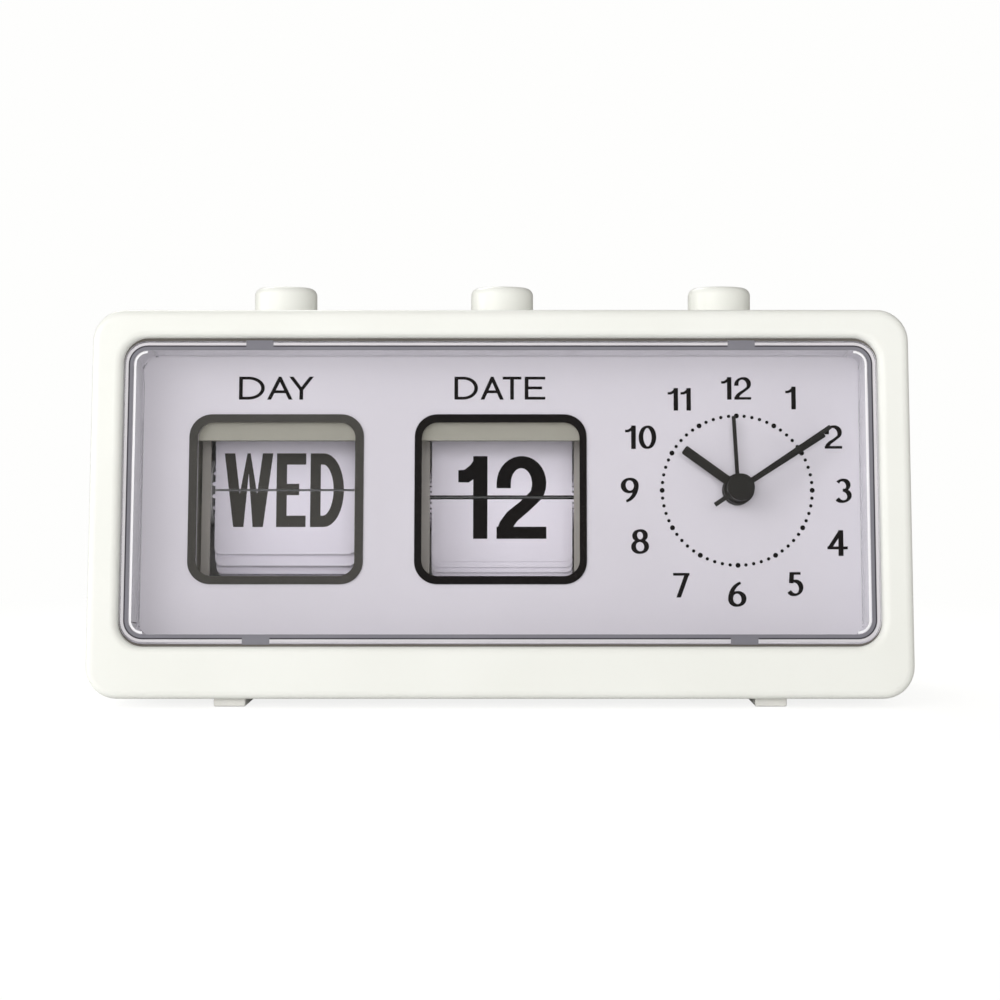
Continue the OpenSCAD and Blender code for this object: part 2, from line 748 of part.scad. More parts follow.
module centre_nut() {
    color("goldenrod") front_frame() difference() {
        rod_y(dial_x, dial_z, nut_r, dial_set - nut_t, dial_set);
        rod_y(dial_x, dial_z, bush_r + run, dial_set - nut_t - 1, dial_set + 1);
    }
}
module circuit_board() {
    color("darkgreen") front_frame()
        box(dial_x - board_w / 2, dial_x + board_w / 2, board_y, board_y + board_t, board_z, board_z + board_h);
}
module drive_coil() {
    z = board_z + board_h / 2;
    color("peru") front_frame() {
        rod_x(board_y - coil_d / 2, z, coil_d / 2 - coil_flange / 2, dial_x - coil_w / 2, dial_x + coil_w / 2);
        for (s = [0, 1]) translate([dial_x, 0, 0]) mirror([s, 0, 0])
            box(coil_w / 2 - coil_flange, coil_w / 2, board_y - coil_d, board_y, z - coil_h / 2, z + coil_h / 2);
    }
}
module buzzer() {
    color("goldenrod") rod_y(buzzer_x, buzzer_z, buzzer_r, back_y - wall - buzzer_t, back_y - wall);
}

// Wheels on the dial centre and beside it
module pipe(outer, inner, y0, y1) {
    difference() {
        rod_y(dial_x, dial_z, outer, y0, y1);
        rod_y(dial_x, dial_z, inner, y0 - 1, y1 + 1);
    }
}
module piped_gear(teeth, at, outer, inner, front, y) {
    color("goldenrod") front_frame() {
        pipe(outer, inner, front, y + gear_t);
        difference() {
            gear(dial_x, dial_z, teeth, at, y, y + gear_t);
            rod_y(dial_x, dial_z, (outer + inner) / 2, y - 1, y + gear_t + 1);
        }
    }
}
module alarm_wheel() {
    piped_gear(alarm_teeth, alarm_dir, alarm_r, hour_r + run, alarm_y, alarm_gear_y);
}
module hour_wheel() {
    piped_gear(hour_teeth, 90 + 180 / hour_teeth, hour_r, minute_r + run, hour_y, hour_gear_y);
}
module minute_arbor() {
    piped_gear(minute_teeth, 90 + 180 / minute_teeth, minute_r, second_r + run, minute_y, motion_gear_y);
}
module second_arbor() {
    color("silver") front_frame() {
        rod_y(dial_x, dial_z, second_r, second_y, pivot_end);
        gear(dial_x, dial_z, second_teeth, 0, second_gear_y, second_gear_y + gear_t);
    }
}
module motion_wheel() {
    color("goldenrod") front_frame() difference() {
        union() {
            gear(dial_x, motion_z, motion_teeth, -90, motion_gear_y, motion_gear_y + gear_t);
            gear(dial_x, motion_z, motion_pinion_teeth, -90, hour_gear_y - 0.2, motion_gear_y + gear_t / 2);
        }
        rod_y(dial_x, motion_z, post_r + run, hour_gear_y - 1, motion_gear_y + gear_t + 1);
    }
}

// Hands, each a hub on its pipe and a blade pointing up from it
module blade(l, w, y, tail) {
    translate([0, y + hand_t, 0]) rotate([90, 0, 0]) linear_extrude(hand_t)
        polygon([[-w / 2, -tail], [w / 2, -tail], [w / 2, l - w / 8], [w * 3 / 8, l], [-w * 3 / 8, l], [-w / 2, l - w / 8]]);
}
module hand(l, w, at, y, hub, pipe_outer) {
    color("darkslategray") front_frame() translate([dial_x, 0, dial_z]) difference() {
        union() {
            rotate([0, at, 0]) blade(l, w, y + hub_lip, -(pipe_outer + hub) / 2);
            rod_y(0, 0, hub, y, y + hub_t);
        }
        rod_y(0, 0, pipe_outer + run / 2, y - 1, y + hub_t + 1);
    }
}
module alarm_hand() {
    hand(alarm_l, alarm_w, alarm_at, alarm_y, nut_r * 0.8, alarm_r);
}
module hour_hand() {
    hand(hour_l, hour_w, hour_at, hour_y, nut_r, hour_r);
}
module minute_hand() {
    hand(minute_l, minute_w, minute_at, minute_y, nut_r * 0.85, minute_r);
}
module second_hand() {
    color("darkslategray") front_frame() translate([dial_x, 0, dial_z]) difference() {
        union() {
            rotate([0, second_at, 0]) blade(second_l, second_w, second_y, second_tail);
            rod_y(0, 0, cap_r, second_y + hand_t - cap_t, second_y + hand_t);
        }
        rod_y(0, 0, second_r + run / 2, second_y, second_y + hand_t + 1);
    }
}

// Back
module set_shaft(x, z, teeth, at, y) {
    color("silver") front_frame() {
        gear(x, z, teeth, at, y, y + gear_t);
        rod_y(x, z, shaft_r, y, knob_y + knob_t - 1);
    }
}
module time_set_shaft() {
    set_shaft(time_x, time_z, minute_teeth, time_dir + 180 + 180 / minute_teeth, motion_gear_y);
}
module alarm_set_shaft() {
    set_shaft(alarm_x, alarm_z, alarm_pinion_teeth, alarm_dir + 180 + 180 / alarm_pinion_teeth, alarm_gear_y);
}
module set_knob(x, z) {
    flutes = 24;
    color("silver") front_frame() difference() {
        translate([x, knob_y + knob_t, z]) rotate([90, 0, 0]) linear_extrude(knob_t)
            polygon([for (i = [0 : flutes - 1], k = [[0, knob_r], [0.4, knob_r], [0.5, knob_r - 0.3], [0.9, knob_r - 0.3]])
                let (a = (i + k[0]) * 360 / flutes) [k[1] * cos(a), k[1] * sin(a)]]);
        rod_y(x, z, shaft_r + run / 2, knob_y - 1, knob_y + knob_t - 1);
    }
}
module alarm_switch() {
    guide = 2 * nub;
    color("dimgray") front_frame() {
        box(slot_x - nub, slot_x + nub, panel_in - run - 0.5, panel_set + 2 * nub, slot_z - nub, slot_z + nub);
        box(slot_x - guide - nub, slot_x + guide + nub, panel_in - run - 1, panel_in - run, slot_z - guide,
            slot_z + guide);
    }
}
module battery() {
    color("darkgoldenrod") front_frame() {
        rod_x(battery_y, battery_z, battery_r, dial_x - battery_l / 2, dial_x + battery_l / 2);
        rod_x(battery_y, battery_z, battery_nub_r, dial_x, dial_x + battery_l / 2 + battery_nub);
    }
}
module battery_contacts() {
    color("silver") front_frame() translate([dial_x, 0, 0]) {
        for (s = [0, 1]) mirror([s, 0, 0])
            box(bay_x - contact_t, bay_x, battery_y - battery_r / 2, battery_y + battery_r / 2,
                battery_z - battery_r / 2, battery_z + battery_r / 2);
        rod_x(battery_y, battery_z, battery_nub_r, contact_t / 2 - bay_x, -battery_l / 2);
    }
}
module battery_door() {
    color("white") front_frame() translate([dial_x, 0, 0]) {
        box(-door_x, door_x, panel_set - door_t, panel_set, hinge_z, battery_z + bay_h - pass_gap);
        rod_x(hinge_y, hinge_z, door_t / 2, -door_x, door_x);
        rod_x(hinge_y, hinge_z, door_pin_r, -bay_x - pin_in, bay_x + pin_in);
    }
}

front_case();
rear_case();
front_lens();
dial_plate();
feet();
case_screws();
flip_chassis();
chassis_screws();
axle(day_x, day_z, day_n);  // day_axle
drum(day_x, day_z, day_n);  // day_drum
ratchet(day_x, day_z, day_n);  // day_ratchet
leaves(day_x, day_z, day_n);  // day_leaves
flip_leaf(day_x, day_z, day_n);  // day_flip_leaf
detent_spring(day_x, day_z, day_n);  // day_detent_spring
axle(date_x, date_z, date_n);  // date_axle
drum(date_x, date_z, date_n);  // date_drum
ratchet(date_x, date_z, date_n);  // date_ratchet
leaves(date_x, date_z, date_n);  // date_leaves
flip_leaf(date_x, date_z, date_n);  // date_flip_leaf
detent_spring(date_x, date_z, date_n);  // date_detent_spring
button(day_x, 0);  // day_button
push_arm(day_x, day_z, day_n);  // day_push_arm
button_spring(day_x);  // day_button_spring
button(date_x, 0);  // date_button
push_arm(date_x, date_z, date_n);  // date_push_arm
button_spring(date_x);  // date_button_spring
button(snooze_x, snooze_tip);  // snooze_button
button_spring(snooze_x);  // snooze_button_spring
snooze_switch();
movement_front_shell();
movement_rear_shell();
movement_screws();
centre_nut();
circuit_board();
drive_coil();
buzzer();
alarm_wheel();
hour_wheel();
motion_wheel();
minute_arbor();
second_arbor();
alarm_hand();
hour_hand();
minute_hand();
second_hand();
time_set_shaft();
set_knob(time_x, time_z);  // time_set_knob
alarm_set_shaft();
set_knob(alarm_x, alarm_z);  // alarm_set_knob
alarm_switch();
battery();
battery_contacts();
battery_door();
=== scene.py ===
"""Looks of the flip clock: finishes, prints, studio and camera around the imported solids."""
import json
import logging
import math
from dataclasses import dataclass, field
from enum import Enum
from typing import Any, Callable, Sequence, Union

import bmesh
import bpy
from mathutils import Matrix, Vector


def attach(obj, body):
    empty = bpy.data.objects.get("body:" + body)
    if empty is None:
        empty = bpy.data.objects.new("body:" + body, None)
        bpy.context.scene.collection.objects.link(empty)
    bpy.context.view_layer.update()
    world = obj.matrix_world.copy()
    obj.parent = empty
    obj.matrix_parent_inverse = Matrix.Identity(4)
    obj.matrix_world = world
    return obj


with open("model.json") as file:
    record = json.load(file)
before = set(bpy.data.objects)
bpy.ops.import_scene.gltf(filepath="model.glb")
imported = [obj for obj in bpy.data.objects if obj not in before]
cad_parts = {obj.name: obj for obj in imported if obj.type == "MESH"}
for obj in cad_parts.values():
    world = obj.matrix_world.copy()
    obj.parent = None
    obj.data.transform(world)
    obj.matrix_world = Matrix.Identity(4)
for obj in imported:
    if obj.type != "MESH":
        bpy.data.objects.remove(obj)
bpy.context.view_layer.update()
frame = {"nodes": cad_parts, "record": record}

LOG = logging.getLogger("flip_clock")
MM = 0.001
TINY = 1e-6
Colour = tuple[float, float, float, float]
Value = Union["Sock", float]
Point2 = tuple[float, float]


def srgb(red: int, green: int, blue: int) -> Colour:
    """Linear colour of an 8-bit screen colour.

    Args:
        red: Red from 0 to 255.
        green: Green from 0 to 255.
        blue: Blue from 0 to 255.

    Returns:
        The linear colour with full alpha.
    """
    def linear(part: int) -> float:
        """Linear value of one part."""
        share = part / 255
        return share / 12.92 if share <= 0.04045 else ((share + 0.055) / 1.055) ** 2.4

    return (linear(red), linear(green), linear(blue), 1.0)


class Sock:
    """An output socket on which shader maths is written with operators."""

    def __init__(self, graph: "Graph", socket: bpy.types.NodeSocket) -> None:
        """Wrap a socket of a graph."""
        self.graph = graph
        self.socket = socket

    def _math(self, operation: str, first: Value, second: Value) -> "Sock":
        """Add a Math node for two values."""
        node = self.graph.node("ShaderNodeMath", {"operation": operation}, {0: first, 1: second})
        return Sock(self.graph, node.outputs[0])

    def __add__(self, other: Value) -> "Sock":
        """Sum."""
        return self._math("ADD", self, other)

    __radd__ = __add__

    def __sub__(self, other: Value) -> "Sock":
        """Difference."""
        return self._math("SUBTRACT", self, other)

    def __mul__(self, other: Value) -> "Sock":
        """Product."""
        return self._math("MULTIPLY", self, other)

    def most(self, other: Value) -> "Sock":
        """The larger of two values."""
        return self._math("MAXIMUM", self, other)

    def smooth(self, low: float, high: float) -> "Sock":
        """A smooth step between two values.

        Args:
            low: Where the step is 0.
            high: Where the step is 1.

        Returns:
            The step.
        """
        node = self.graph.node(
            "ShaderNodeMapRange",
            {"interpolation_type": "SMOOTHSTEP"},
            {"Value": self, "From Min": low, "From Max": high},
        )
        return Sock(self.graph, node.outputs["Result"])


class Graph:
    """The node tree of one material, emptied and ready to be filled."""

    def __init__(self, name: str) -> None:
        """Make a material with an output node only.

        Args:
            name: Name of the material.
        """
        self.material = bpy.data.materials.new(name)
        self.material.use_nodes = True
        self.tree = self.material.node_tree
        self.tree.nodes.clear()
        self.output = self.tree.nodes.new("ShaderNodeOutputMaterial")

    def node(self, kind: str, settings: dict[str, Any], inputs: dict[Any, Any]) -> bpy.types.Node:
        """Add a node.

        Args:
            kind: The node's type name.
            settings: Attributes set first.
            inputs: Values or links by socket name or index.

        Returns:
            The new node.
        """
        node = self.tree.nodes.new(kind)
        for key, value in settings.items():
            setattr(node, key, value)
        for key, value in inputs.items():
            if isinstance(value, Sock):
                self.tree.links.new(value.socket, node.inputs[key])
            else:
                node.inputs[key].default_value = value
        return node

    def out(self, node: bpy.types.Node, name: Union[str, int] = 0) -> Sock:
        """The wrapped output of a node."""
        return Sock(self, node.outputs[name])

    def place(self) -> Sock:
        """Object coordinates, which keep the clock's own metres."""
        return self.out(self.node("ShaderNodeTexCoord", {}, {}), "Object")

    def noise(self, scale: float, detail: float = 3.0, rough: float = 0.5) -> Sock:
        """Noise over the object's own coordinates."""
        inputs = {"Vector": self.place(), "Scale": scale, "Detail": detail, "Roughness": rough}
        return self.out(self.node("ShaderNodeTexNoise", {}, inputs), "Fac")

    def mix(self, share: Value, first: Any, second: Any) -> Sock:
        """Mix of two colours by a share."""
        inputs = {0: share, 6: first, 7: second}
        return self.out(self.node("ShaderNodeMix", {"data_type": "RGBA"}, inputs), 2)

    def bump(self, height: Value, distance: float, strength: float) -> Sock:
        """Normal from a height."""
        inputs = {"Height": height, "Distance": distance, "Strength": strength}
        return self.out(self.node("ShaderNodeBump", {}, inputs), "Normal")

    def surface(self, node: bpy.types.Node) -> bpy.types.Material:
        """Link a shader to the output and return the material."""
        self.tree.links.new(node.outputs[0], self.output.inputs["Surface"])
        return self.material


@dataclass(frozen=True)
class LeanFrame:
    """The frame of the leaning front face: x right, y inwards, z up the face, in millimetres."""

    lean: float = 6.0
    front_y: float = -32.0
    base_z: float = 2.0

    def matrix(self) -> Matrix:
        """Transform from the leaning frame in millimetres to the clock in metres."""
        turn = Matrix.Rotation(math.radians(-self.lean), 4, "X")
        return Matrix.Scale(MM, 4) @ Matrix.Translation((0.0, self.front_y, self.base_z)) @ turn


FACE = LeanFrame()


class Grain(Enum):
    """How the fine surface of a finish runs."""

    MOULDED = "moulded"
    PAPER = "paper"
    TURNED = "turned"


@dataclass(frozen=True)
class Finish:
    """An opaque finish with slow colour change, fine grain and a little unevenness in its gloss."""

    name: str
    colour: Colour
    tint: Colour
    rough: float
    grain: Grain = Grain.MOULDED
    metal: float = 0.0
    depth: float = 0.02
    scale: float = 1400.0
    coat: float = 0.0
    specular: float = 0.5
    # A band of painted shade across the face: its middle height and half width in millimetres, and the
    # width of its soft edge.
    band: Point2 = (0.0, 0.0)
    shade_blur: float = 0.03
    patches: float = 28.0
    patch_gloss: float = 0.06
    fine_gloss: float = 0.08
    relief: float = 0.35

    def _painted_shade_band(self, graph: Graph, colour: Sock) -> Sock:
        """The colour with a band of painted shade across it, at a height along the leaning face.

        Args:
            graph: The material's nodes.
            colour: The colour beside the band.

        Returns:
            The colour with the band.
        """
        middle, half = self.band
        parts = graph.node("ShaderNodeSeparateXYZ", {}, {"Vector": graph.place()})
        turn = math.radians(FACE.lean)
        height = (graph.out(parts, "Y") - FACE.front_y * MM) * math.sin(turn)
        height = height + (graph.out(parts, "Z") - FACE.base_z * MM) * math.cos(turn)
        off = height - middle * MM
        beside = off.most(off * -1.0).smooth(half * MM, (half + self.shade_blur) * MM)
        # The band is painted shade in the black of the ink.
        return graph.mix(beside, Inks.BLACK, colour)

    def build(self) -> bpy.types.Material:
        """Make the material.

        Returns:
            The material with its nodes.
        """
        graph = Graph(self.name)
        broad = graph.noise(self.patches, 2.0)
        fine = graph.noise(self.scale, 4.0, 0.6)
        if self.grain is Grain.PAPER:
            fine = fine * 0.6 + graph.noise(self.scale * 0.3, 5.0, 0.7) * 0.4
        elif self.grain is Grain.TURNED:
            wave = graph.node(
                "ShaderNodeTexWave",
                {"wave_type": "RINGS", "rings_direction": "SPHERICAL"},
                {"Vector": graph.place(), "Scale": self.scale, "Distortion": 1.5},
            )
            fine = fine * 0.5 + graph.out(wave, "Fac") * 0.5
        colour = graph.mix(broad.smooth(0.3, 0.7) * 0.6 + fine * 0.25, self.colour, self.tint)
        if self.band[1]:
            colour = self._painted_shade_band(graph, colour)
        rough = self.rough + (broad - 0.5) * self.patch_gloss + (fine - 0.5) * self.fine_gloss
        shader = graph.node(
            "ShaderNodeBsdfPrincipled",
            {},
            {
                "Base Color": colour,
                "Roughness": rough,
                "Metallic": self.metal,
                "Coat Weight": self.coat,
                "Specular IOR Level": self.specular,
                "Normal": graph.bump(fine, self.depth * MM, self.relief),
            },
        )
        return graph.surface(shader)


@dataclass(frozen=True)
class ClearFinish:
    """A polished clear plastic that lets light through to what it covers."""

    name: str
    tint: Colour
    ior: float = 1.49
    rough: float = 0.02
    patches: float = 90.0
    haze: float = 0.01

    def build(self) -> bpy.types.Material:
        """Make the material.

        Returns:
            The material with its nodes.
        """
        graph = Graph(self.name)
        haze = graph.noise(self.patches)
        clear = graph.node(
            "ShaderNodeBsdfPrincipled",
            {},
            {
                "Base Color": self.tint,
                "Roughness": self.rough + haze * self.haze,
                "IOR": self.ior,
                "Transmission Weight": 1.0,
            },
        )
        through = graph.node("ShaderNodeBsdfTransparent", {}, {"Color": self.tint})
        path = graph.node("ShaderNodeLightPath", {}, {})
        shade = graph.out(path, "Is Shadow Ray").most(graph.out(path, "Is Diffuse Ray"))
        both = graph.node("ShaderNodeMixShader", {}, {0: shade, 1: graph.out(clear), 2: graph.out(through)})
        return graph.surface(both)


class Inks:
    """Screen colours of the printed and moulded surfaces."""

    CASE = srgb(243, 244, 239)
    CASE_TINT = srgb(238, 239, 233)
    DIAL = srgb(228, 224, 228)
    DIAL_TINT = srgb(222, 218, 222)
    CARD = srgb(248, 243, 251)
    CARD_TINT = srgb(242, 237, 246)
    BLACK = srgb(16, 12, 9)
    BLACK_TINT = srgb(22, 18, 14)


# The split of the date card and half the gap there, where a band of painted shade lies, in millimetres
# along the face.
DATE_SPLIT = 46.4
DATE_SHADED_GAP = 0.45

FINISHES: dict[str, Union[Finish, ClearFinish]] = {
    finish.name: finish
    for finish in (
        Finish("white_plastic", Inks.CASE, Inks.CASE_TINT, 0.34, depth=0.012, specular=0.45),
        ClearFinish("clear_plastic", srgb(252, 252, 254)),
        Finish("dial_paint", Inks.DIAL, Inks.DIAL_TINT, 0.5, Grain.PAPER, depth=0.008),
        Finish("grey_foot", srgb(238, 237, 232), srgb(228, 227, 222), 0.5),
        Finish("steel", srgb(188, 188, 190), srgb(170, 170, 174), 0.3, Grain.TURNED, metal=1.0),
        Finish("grey_plastic", srgb(206, 206, 200), srgb(192, 193, 186), 0.5),
        # Grey plastic darkened for the painted shade that falls on the chassis behind the dial.
        Finish("chassis_plastic", srgb(168, 166, 152), srgb(157, 155, 141), 0.5),
        Finish("cheek_plastic", srgb(190, 186, 178), srgb(176, 172, 164), 0.45),
        Finish("drum_plastic", srgb(226, 226, 224), srgb(214, 214, 211), 0.45),
        Finish("leaf_card", Inks.CARD, Inks.CARD_TINT, 0.48, Grain.PAPER, depth=0.006),
        # The date card carries a band of painted shade at its split.
        Finish(
            "date_card", srgb(252, 247, 254), srgb(246, 241, 249), 0.5, Grain.PAPER, depth=0.006,
            specular=0.1, band=(DATE_SPLIT, DATE_SHADED_GAP),
        ),
        Finish("spring_bronze", srgb(196, 152, 92), srgb(178, 134, 76), 0.32, Grain.TURNED, metal=1.0),
        Finish("black_plastic", srgb(38, 38, 40), srgb(48, 48, 50), 0.5),
        Finish("gear_brass", srgb(206, 170, 104), srgb(188, 150, 86), 0.28, Grain.TURNED, metal=1.0),
        Finish("board_green", srgb(34, 92, 52), srgb(28, 78, 44), 0.4),
        Finish("coil_copper", srgb(184, 102, 62), srgb(160, 84, 48), 0.35, Grain.TURNED, metal=0.9),
        Finish("hand_black", srgb(38, 36, 30), srgb(32, 31, 26), 0.42, depth=0.004, specular=0.35),
        Finish("battery_wrap", srgb(60, 62, 66), srgb(48, 50, 54), 0.3, coat=0.4),
        Finish("black_ink", Inks.BLACK, Inks.BLACK_TINT, 0.55, Grain.PAPER, depth=0.003, specular=0.03),
        # Dark grey print of the day card's letters; on the day border it stands for black print with a
        # painted sheen.
        Finish("grey_ink_and_sheen", srgb(76, 74, 68), srgb(68, 66, 60), 0.45, depth=0.003, specular=0.15),
        # The rim finishes paint the lens's refraction: painted shade in the gap to the case and on the lens
        # wall, painted highlights on the wall; the grey also colours the clips.
        Finish("rim_gap_shade", srgb(108, 104, 98), srgb(96, 92, 87), 0.4, depth=0.003, specular=0.2),
        Finish("rim_dark_shade", srgb(70, 68, 74), srgb(62, 60, 66), 0.4, depth=0.003, specular=0.2),
        Finish("rim_grey_shade_and_clips", srgb(130, 129, 136), srgb(120, 119, 127), 0.35, depth=0.003, specular=0.2),
        Finish("rim_pale_highlight", srgb(214, 211, 215), srgb(207, 204, 209), 0.35, depth=0.003),
        Finish("rim_white_glint", srgb(246, 245, 248), srgb(240, 239, 243), 0.3, depth=0.003),
    )
}


class Palette:
    """Builds each finish once and lends it to the pieces."""

    def __init__(self) -> None:
        """Start with no material made."""
        self._made: dict[str, bpy.types.Material] = {}

    def get(self, name: str) -> bpy.types.Material:
        """The material of a finish, made on first use.

        Args:
            name: Name of the finish.

        Returns:
            The material.
        """
        if name not in self._made:
            self._made[name] = FINISHES[name].build()
        return self._made[name]

    def dress(self, piece: bpy.types.Object, name: str) -> None:
        """Put one finish on all of a piece and report it.

        Args:
            piece: The piece.
            name: Name of the finish.
        """
        piece.data.materials.clear()
        piece.data.materials.append(self.get(name))
        LOG.info("%s: %s", piece.name, name)


@dataclass(frozen=True)
class Nib:
    """A broad pen: its long and short half widths and the slant of its long side in degrees."""

    broad: float
    thin: float
    slant: float = 0.0

    def reach(self, across: Vector) -> float:
        """Half width of a stroke.

        Args:
            across: The stroke's normal.

        Returns:
            The half width.
        """
        turn = math.radians(self.slant)
        along = across.x * math.cos(turn) + across.y * math.sin(turn)
        beside = across.y * math.cos(turn) - across.x * math.sin(turn)
        return math.hypot(self.broad * along, self.thin * beside)


def arc(mid: Point2, radii: Point2, start: float, end: float, count: int = 18) -> list[Point2]:
    """Points along an ellipse's arc.

    Args:
        mid: Centre.
        radii: Half width and half height.
        start: First angle in degrees.
        end: Last angle in degrees.
        count: Number of steps.

    Returns:
        The points in order.
    """
    angles = [math.radians(start + (end - start) * i / count) for i in range(count + 1)]
    return [(mid[0] + radii[0] * math.cos(a), mid[1] + radii[1] * math.sin(a)) for a in angles]


RING = 360.0
# Drawing in ink, in millimetres or as shares.
INK_GAP = 0.004
LAYER_STEP = 0.002
LAYERS = 4
MITRE_LEAST = 0.35
LEVEL_SLOPE = 0.3
CAP_REACH = 2.5
Strokes = list[list[Point2]]
GLYPHS: dict[str, tuple[float, Strokes]] = {
    "0": (0.62, [arc((0.5, 0.5), (0.5, 0.5), 90, 90 + RING, 36)]),
    "1": (0.37, [[(-0.43, 0.8), (0.1, 0.8), (0.62, 0.88), (1.0, 0.99)], [(1.0, 1.0), (1.0, 0.0)]]),
    "2": (0.62, [[(0.0, 0.63)] + arc((0.5, 0.7), (0.5, 0.3), 180, -34)
                 + [(0.58, 0.37), (0.24, 0.23), (0.07, 0.11), (0.0, 0.01)], [(0.0, 0.0), (1.0, 0.0)]]),
    "3": (0.58, [arc((0.44, 0.755), (0.46, 0.245), 150, -90), arc((0.44, 0.265), (0.54, 0.265), 90, -150)]),
    "4": (0.66, [[(0.68, 0.98), (0.0, 0.3)], [(0.0, 0.29), (1.0, 0.29)], [(0.72, 1.0), (0.72, 0.0)]]),
    "5": (0.56, [[(0.2, 1.0), (0.95, 1.0)], [(0.18, 1.0), (0.12, 0.54)],
                 arc((0.42, 0.32), (0.56, 0.32), 124, -150)]),
    "6": (0.6, [arc((1.06, 0.29), (1.06, 0.74), 106, 180),
                arc((0.5, 0.29), (0.5, 0.29), 180, 180 + RING, 30)]),
    "7": (0.56, [[(0.0, 1.0), (1.0, 1.0)], [(0.98, 1.0), (0.3, 0.0)]]),
    "8": (0.6, [arc((0.5, 0.77), (0.41, 0.23), 90, 90 + RING, 28),
                arc((0.5, 0.27), (0.5, 0.27), 90, 90 + RING, 30)]),
    "9": (0.6, [arc((-0.06, 0.71), (1.06, 0.74), -74, 0), arc((0.5, 0.71), (0.5, 0.29), 0, RING, 30)]),
    "A": (0.74, [[(0.0, 0.0), (0.5, 1.0), (1.0, 0.0)], [(0.16, 0.32), (0.84, 0.32)]]),
    "D": (0.8, [[(0.0, 0.0), (0.0, 1.0)], [(0.0, 1.0), (0.34, 1.0)]
                + arc((0.34, 0.5), (0.66, 0.5), 90, -90, 20) + [(0.0, 0.0)]]),
    "E": (0.7, [[(0.0, 0.0), (0.0, 1.0)], [(0.0, 1.0), (1.0, 1.0)], [(0.0, 0.51), (0.92, 0.51)],
                [(0.0, 0.0), (1.0, 0.0)]]),
    "H": (0.7, [[(0.0, 0.0), (0.0, 1.0)], [(1.0, 0.0), (1.0, 1.0)], [(0.0, 0.52), (1.0, 0.52)]]),
    "T": (0.64, [[(0.0, 1.0), (1.0, 1.0)], [(0.5, 1.0), (0.5, 0.0)]]),
    "U": (0.7, [[(0.0, 1.0)] + arc((0.5, 0.34), (0.5, 0.34), 180, 360, 20) + [(1.0, 1.0)]]),
    "W": (1.12, [[(0.0, 1.0), (0.262, -0.2)], [(0.218, -0.2), (0.5, 1.0), (0.782, -0.2)],
                 [(0.738, -0.2), (1.0, 1.0)]]),
    "Y": (0.68, [[(0.0, 1.0), (0.5, 0.42), (1.0, 1.0)], [(0.5, 0.46), (0.5, 0.0)]]),
}
KERN: dict[tuple[str, str], float] = {("A", "Y"): -0.2, ("A", "T"): -0.16}


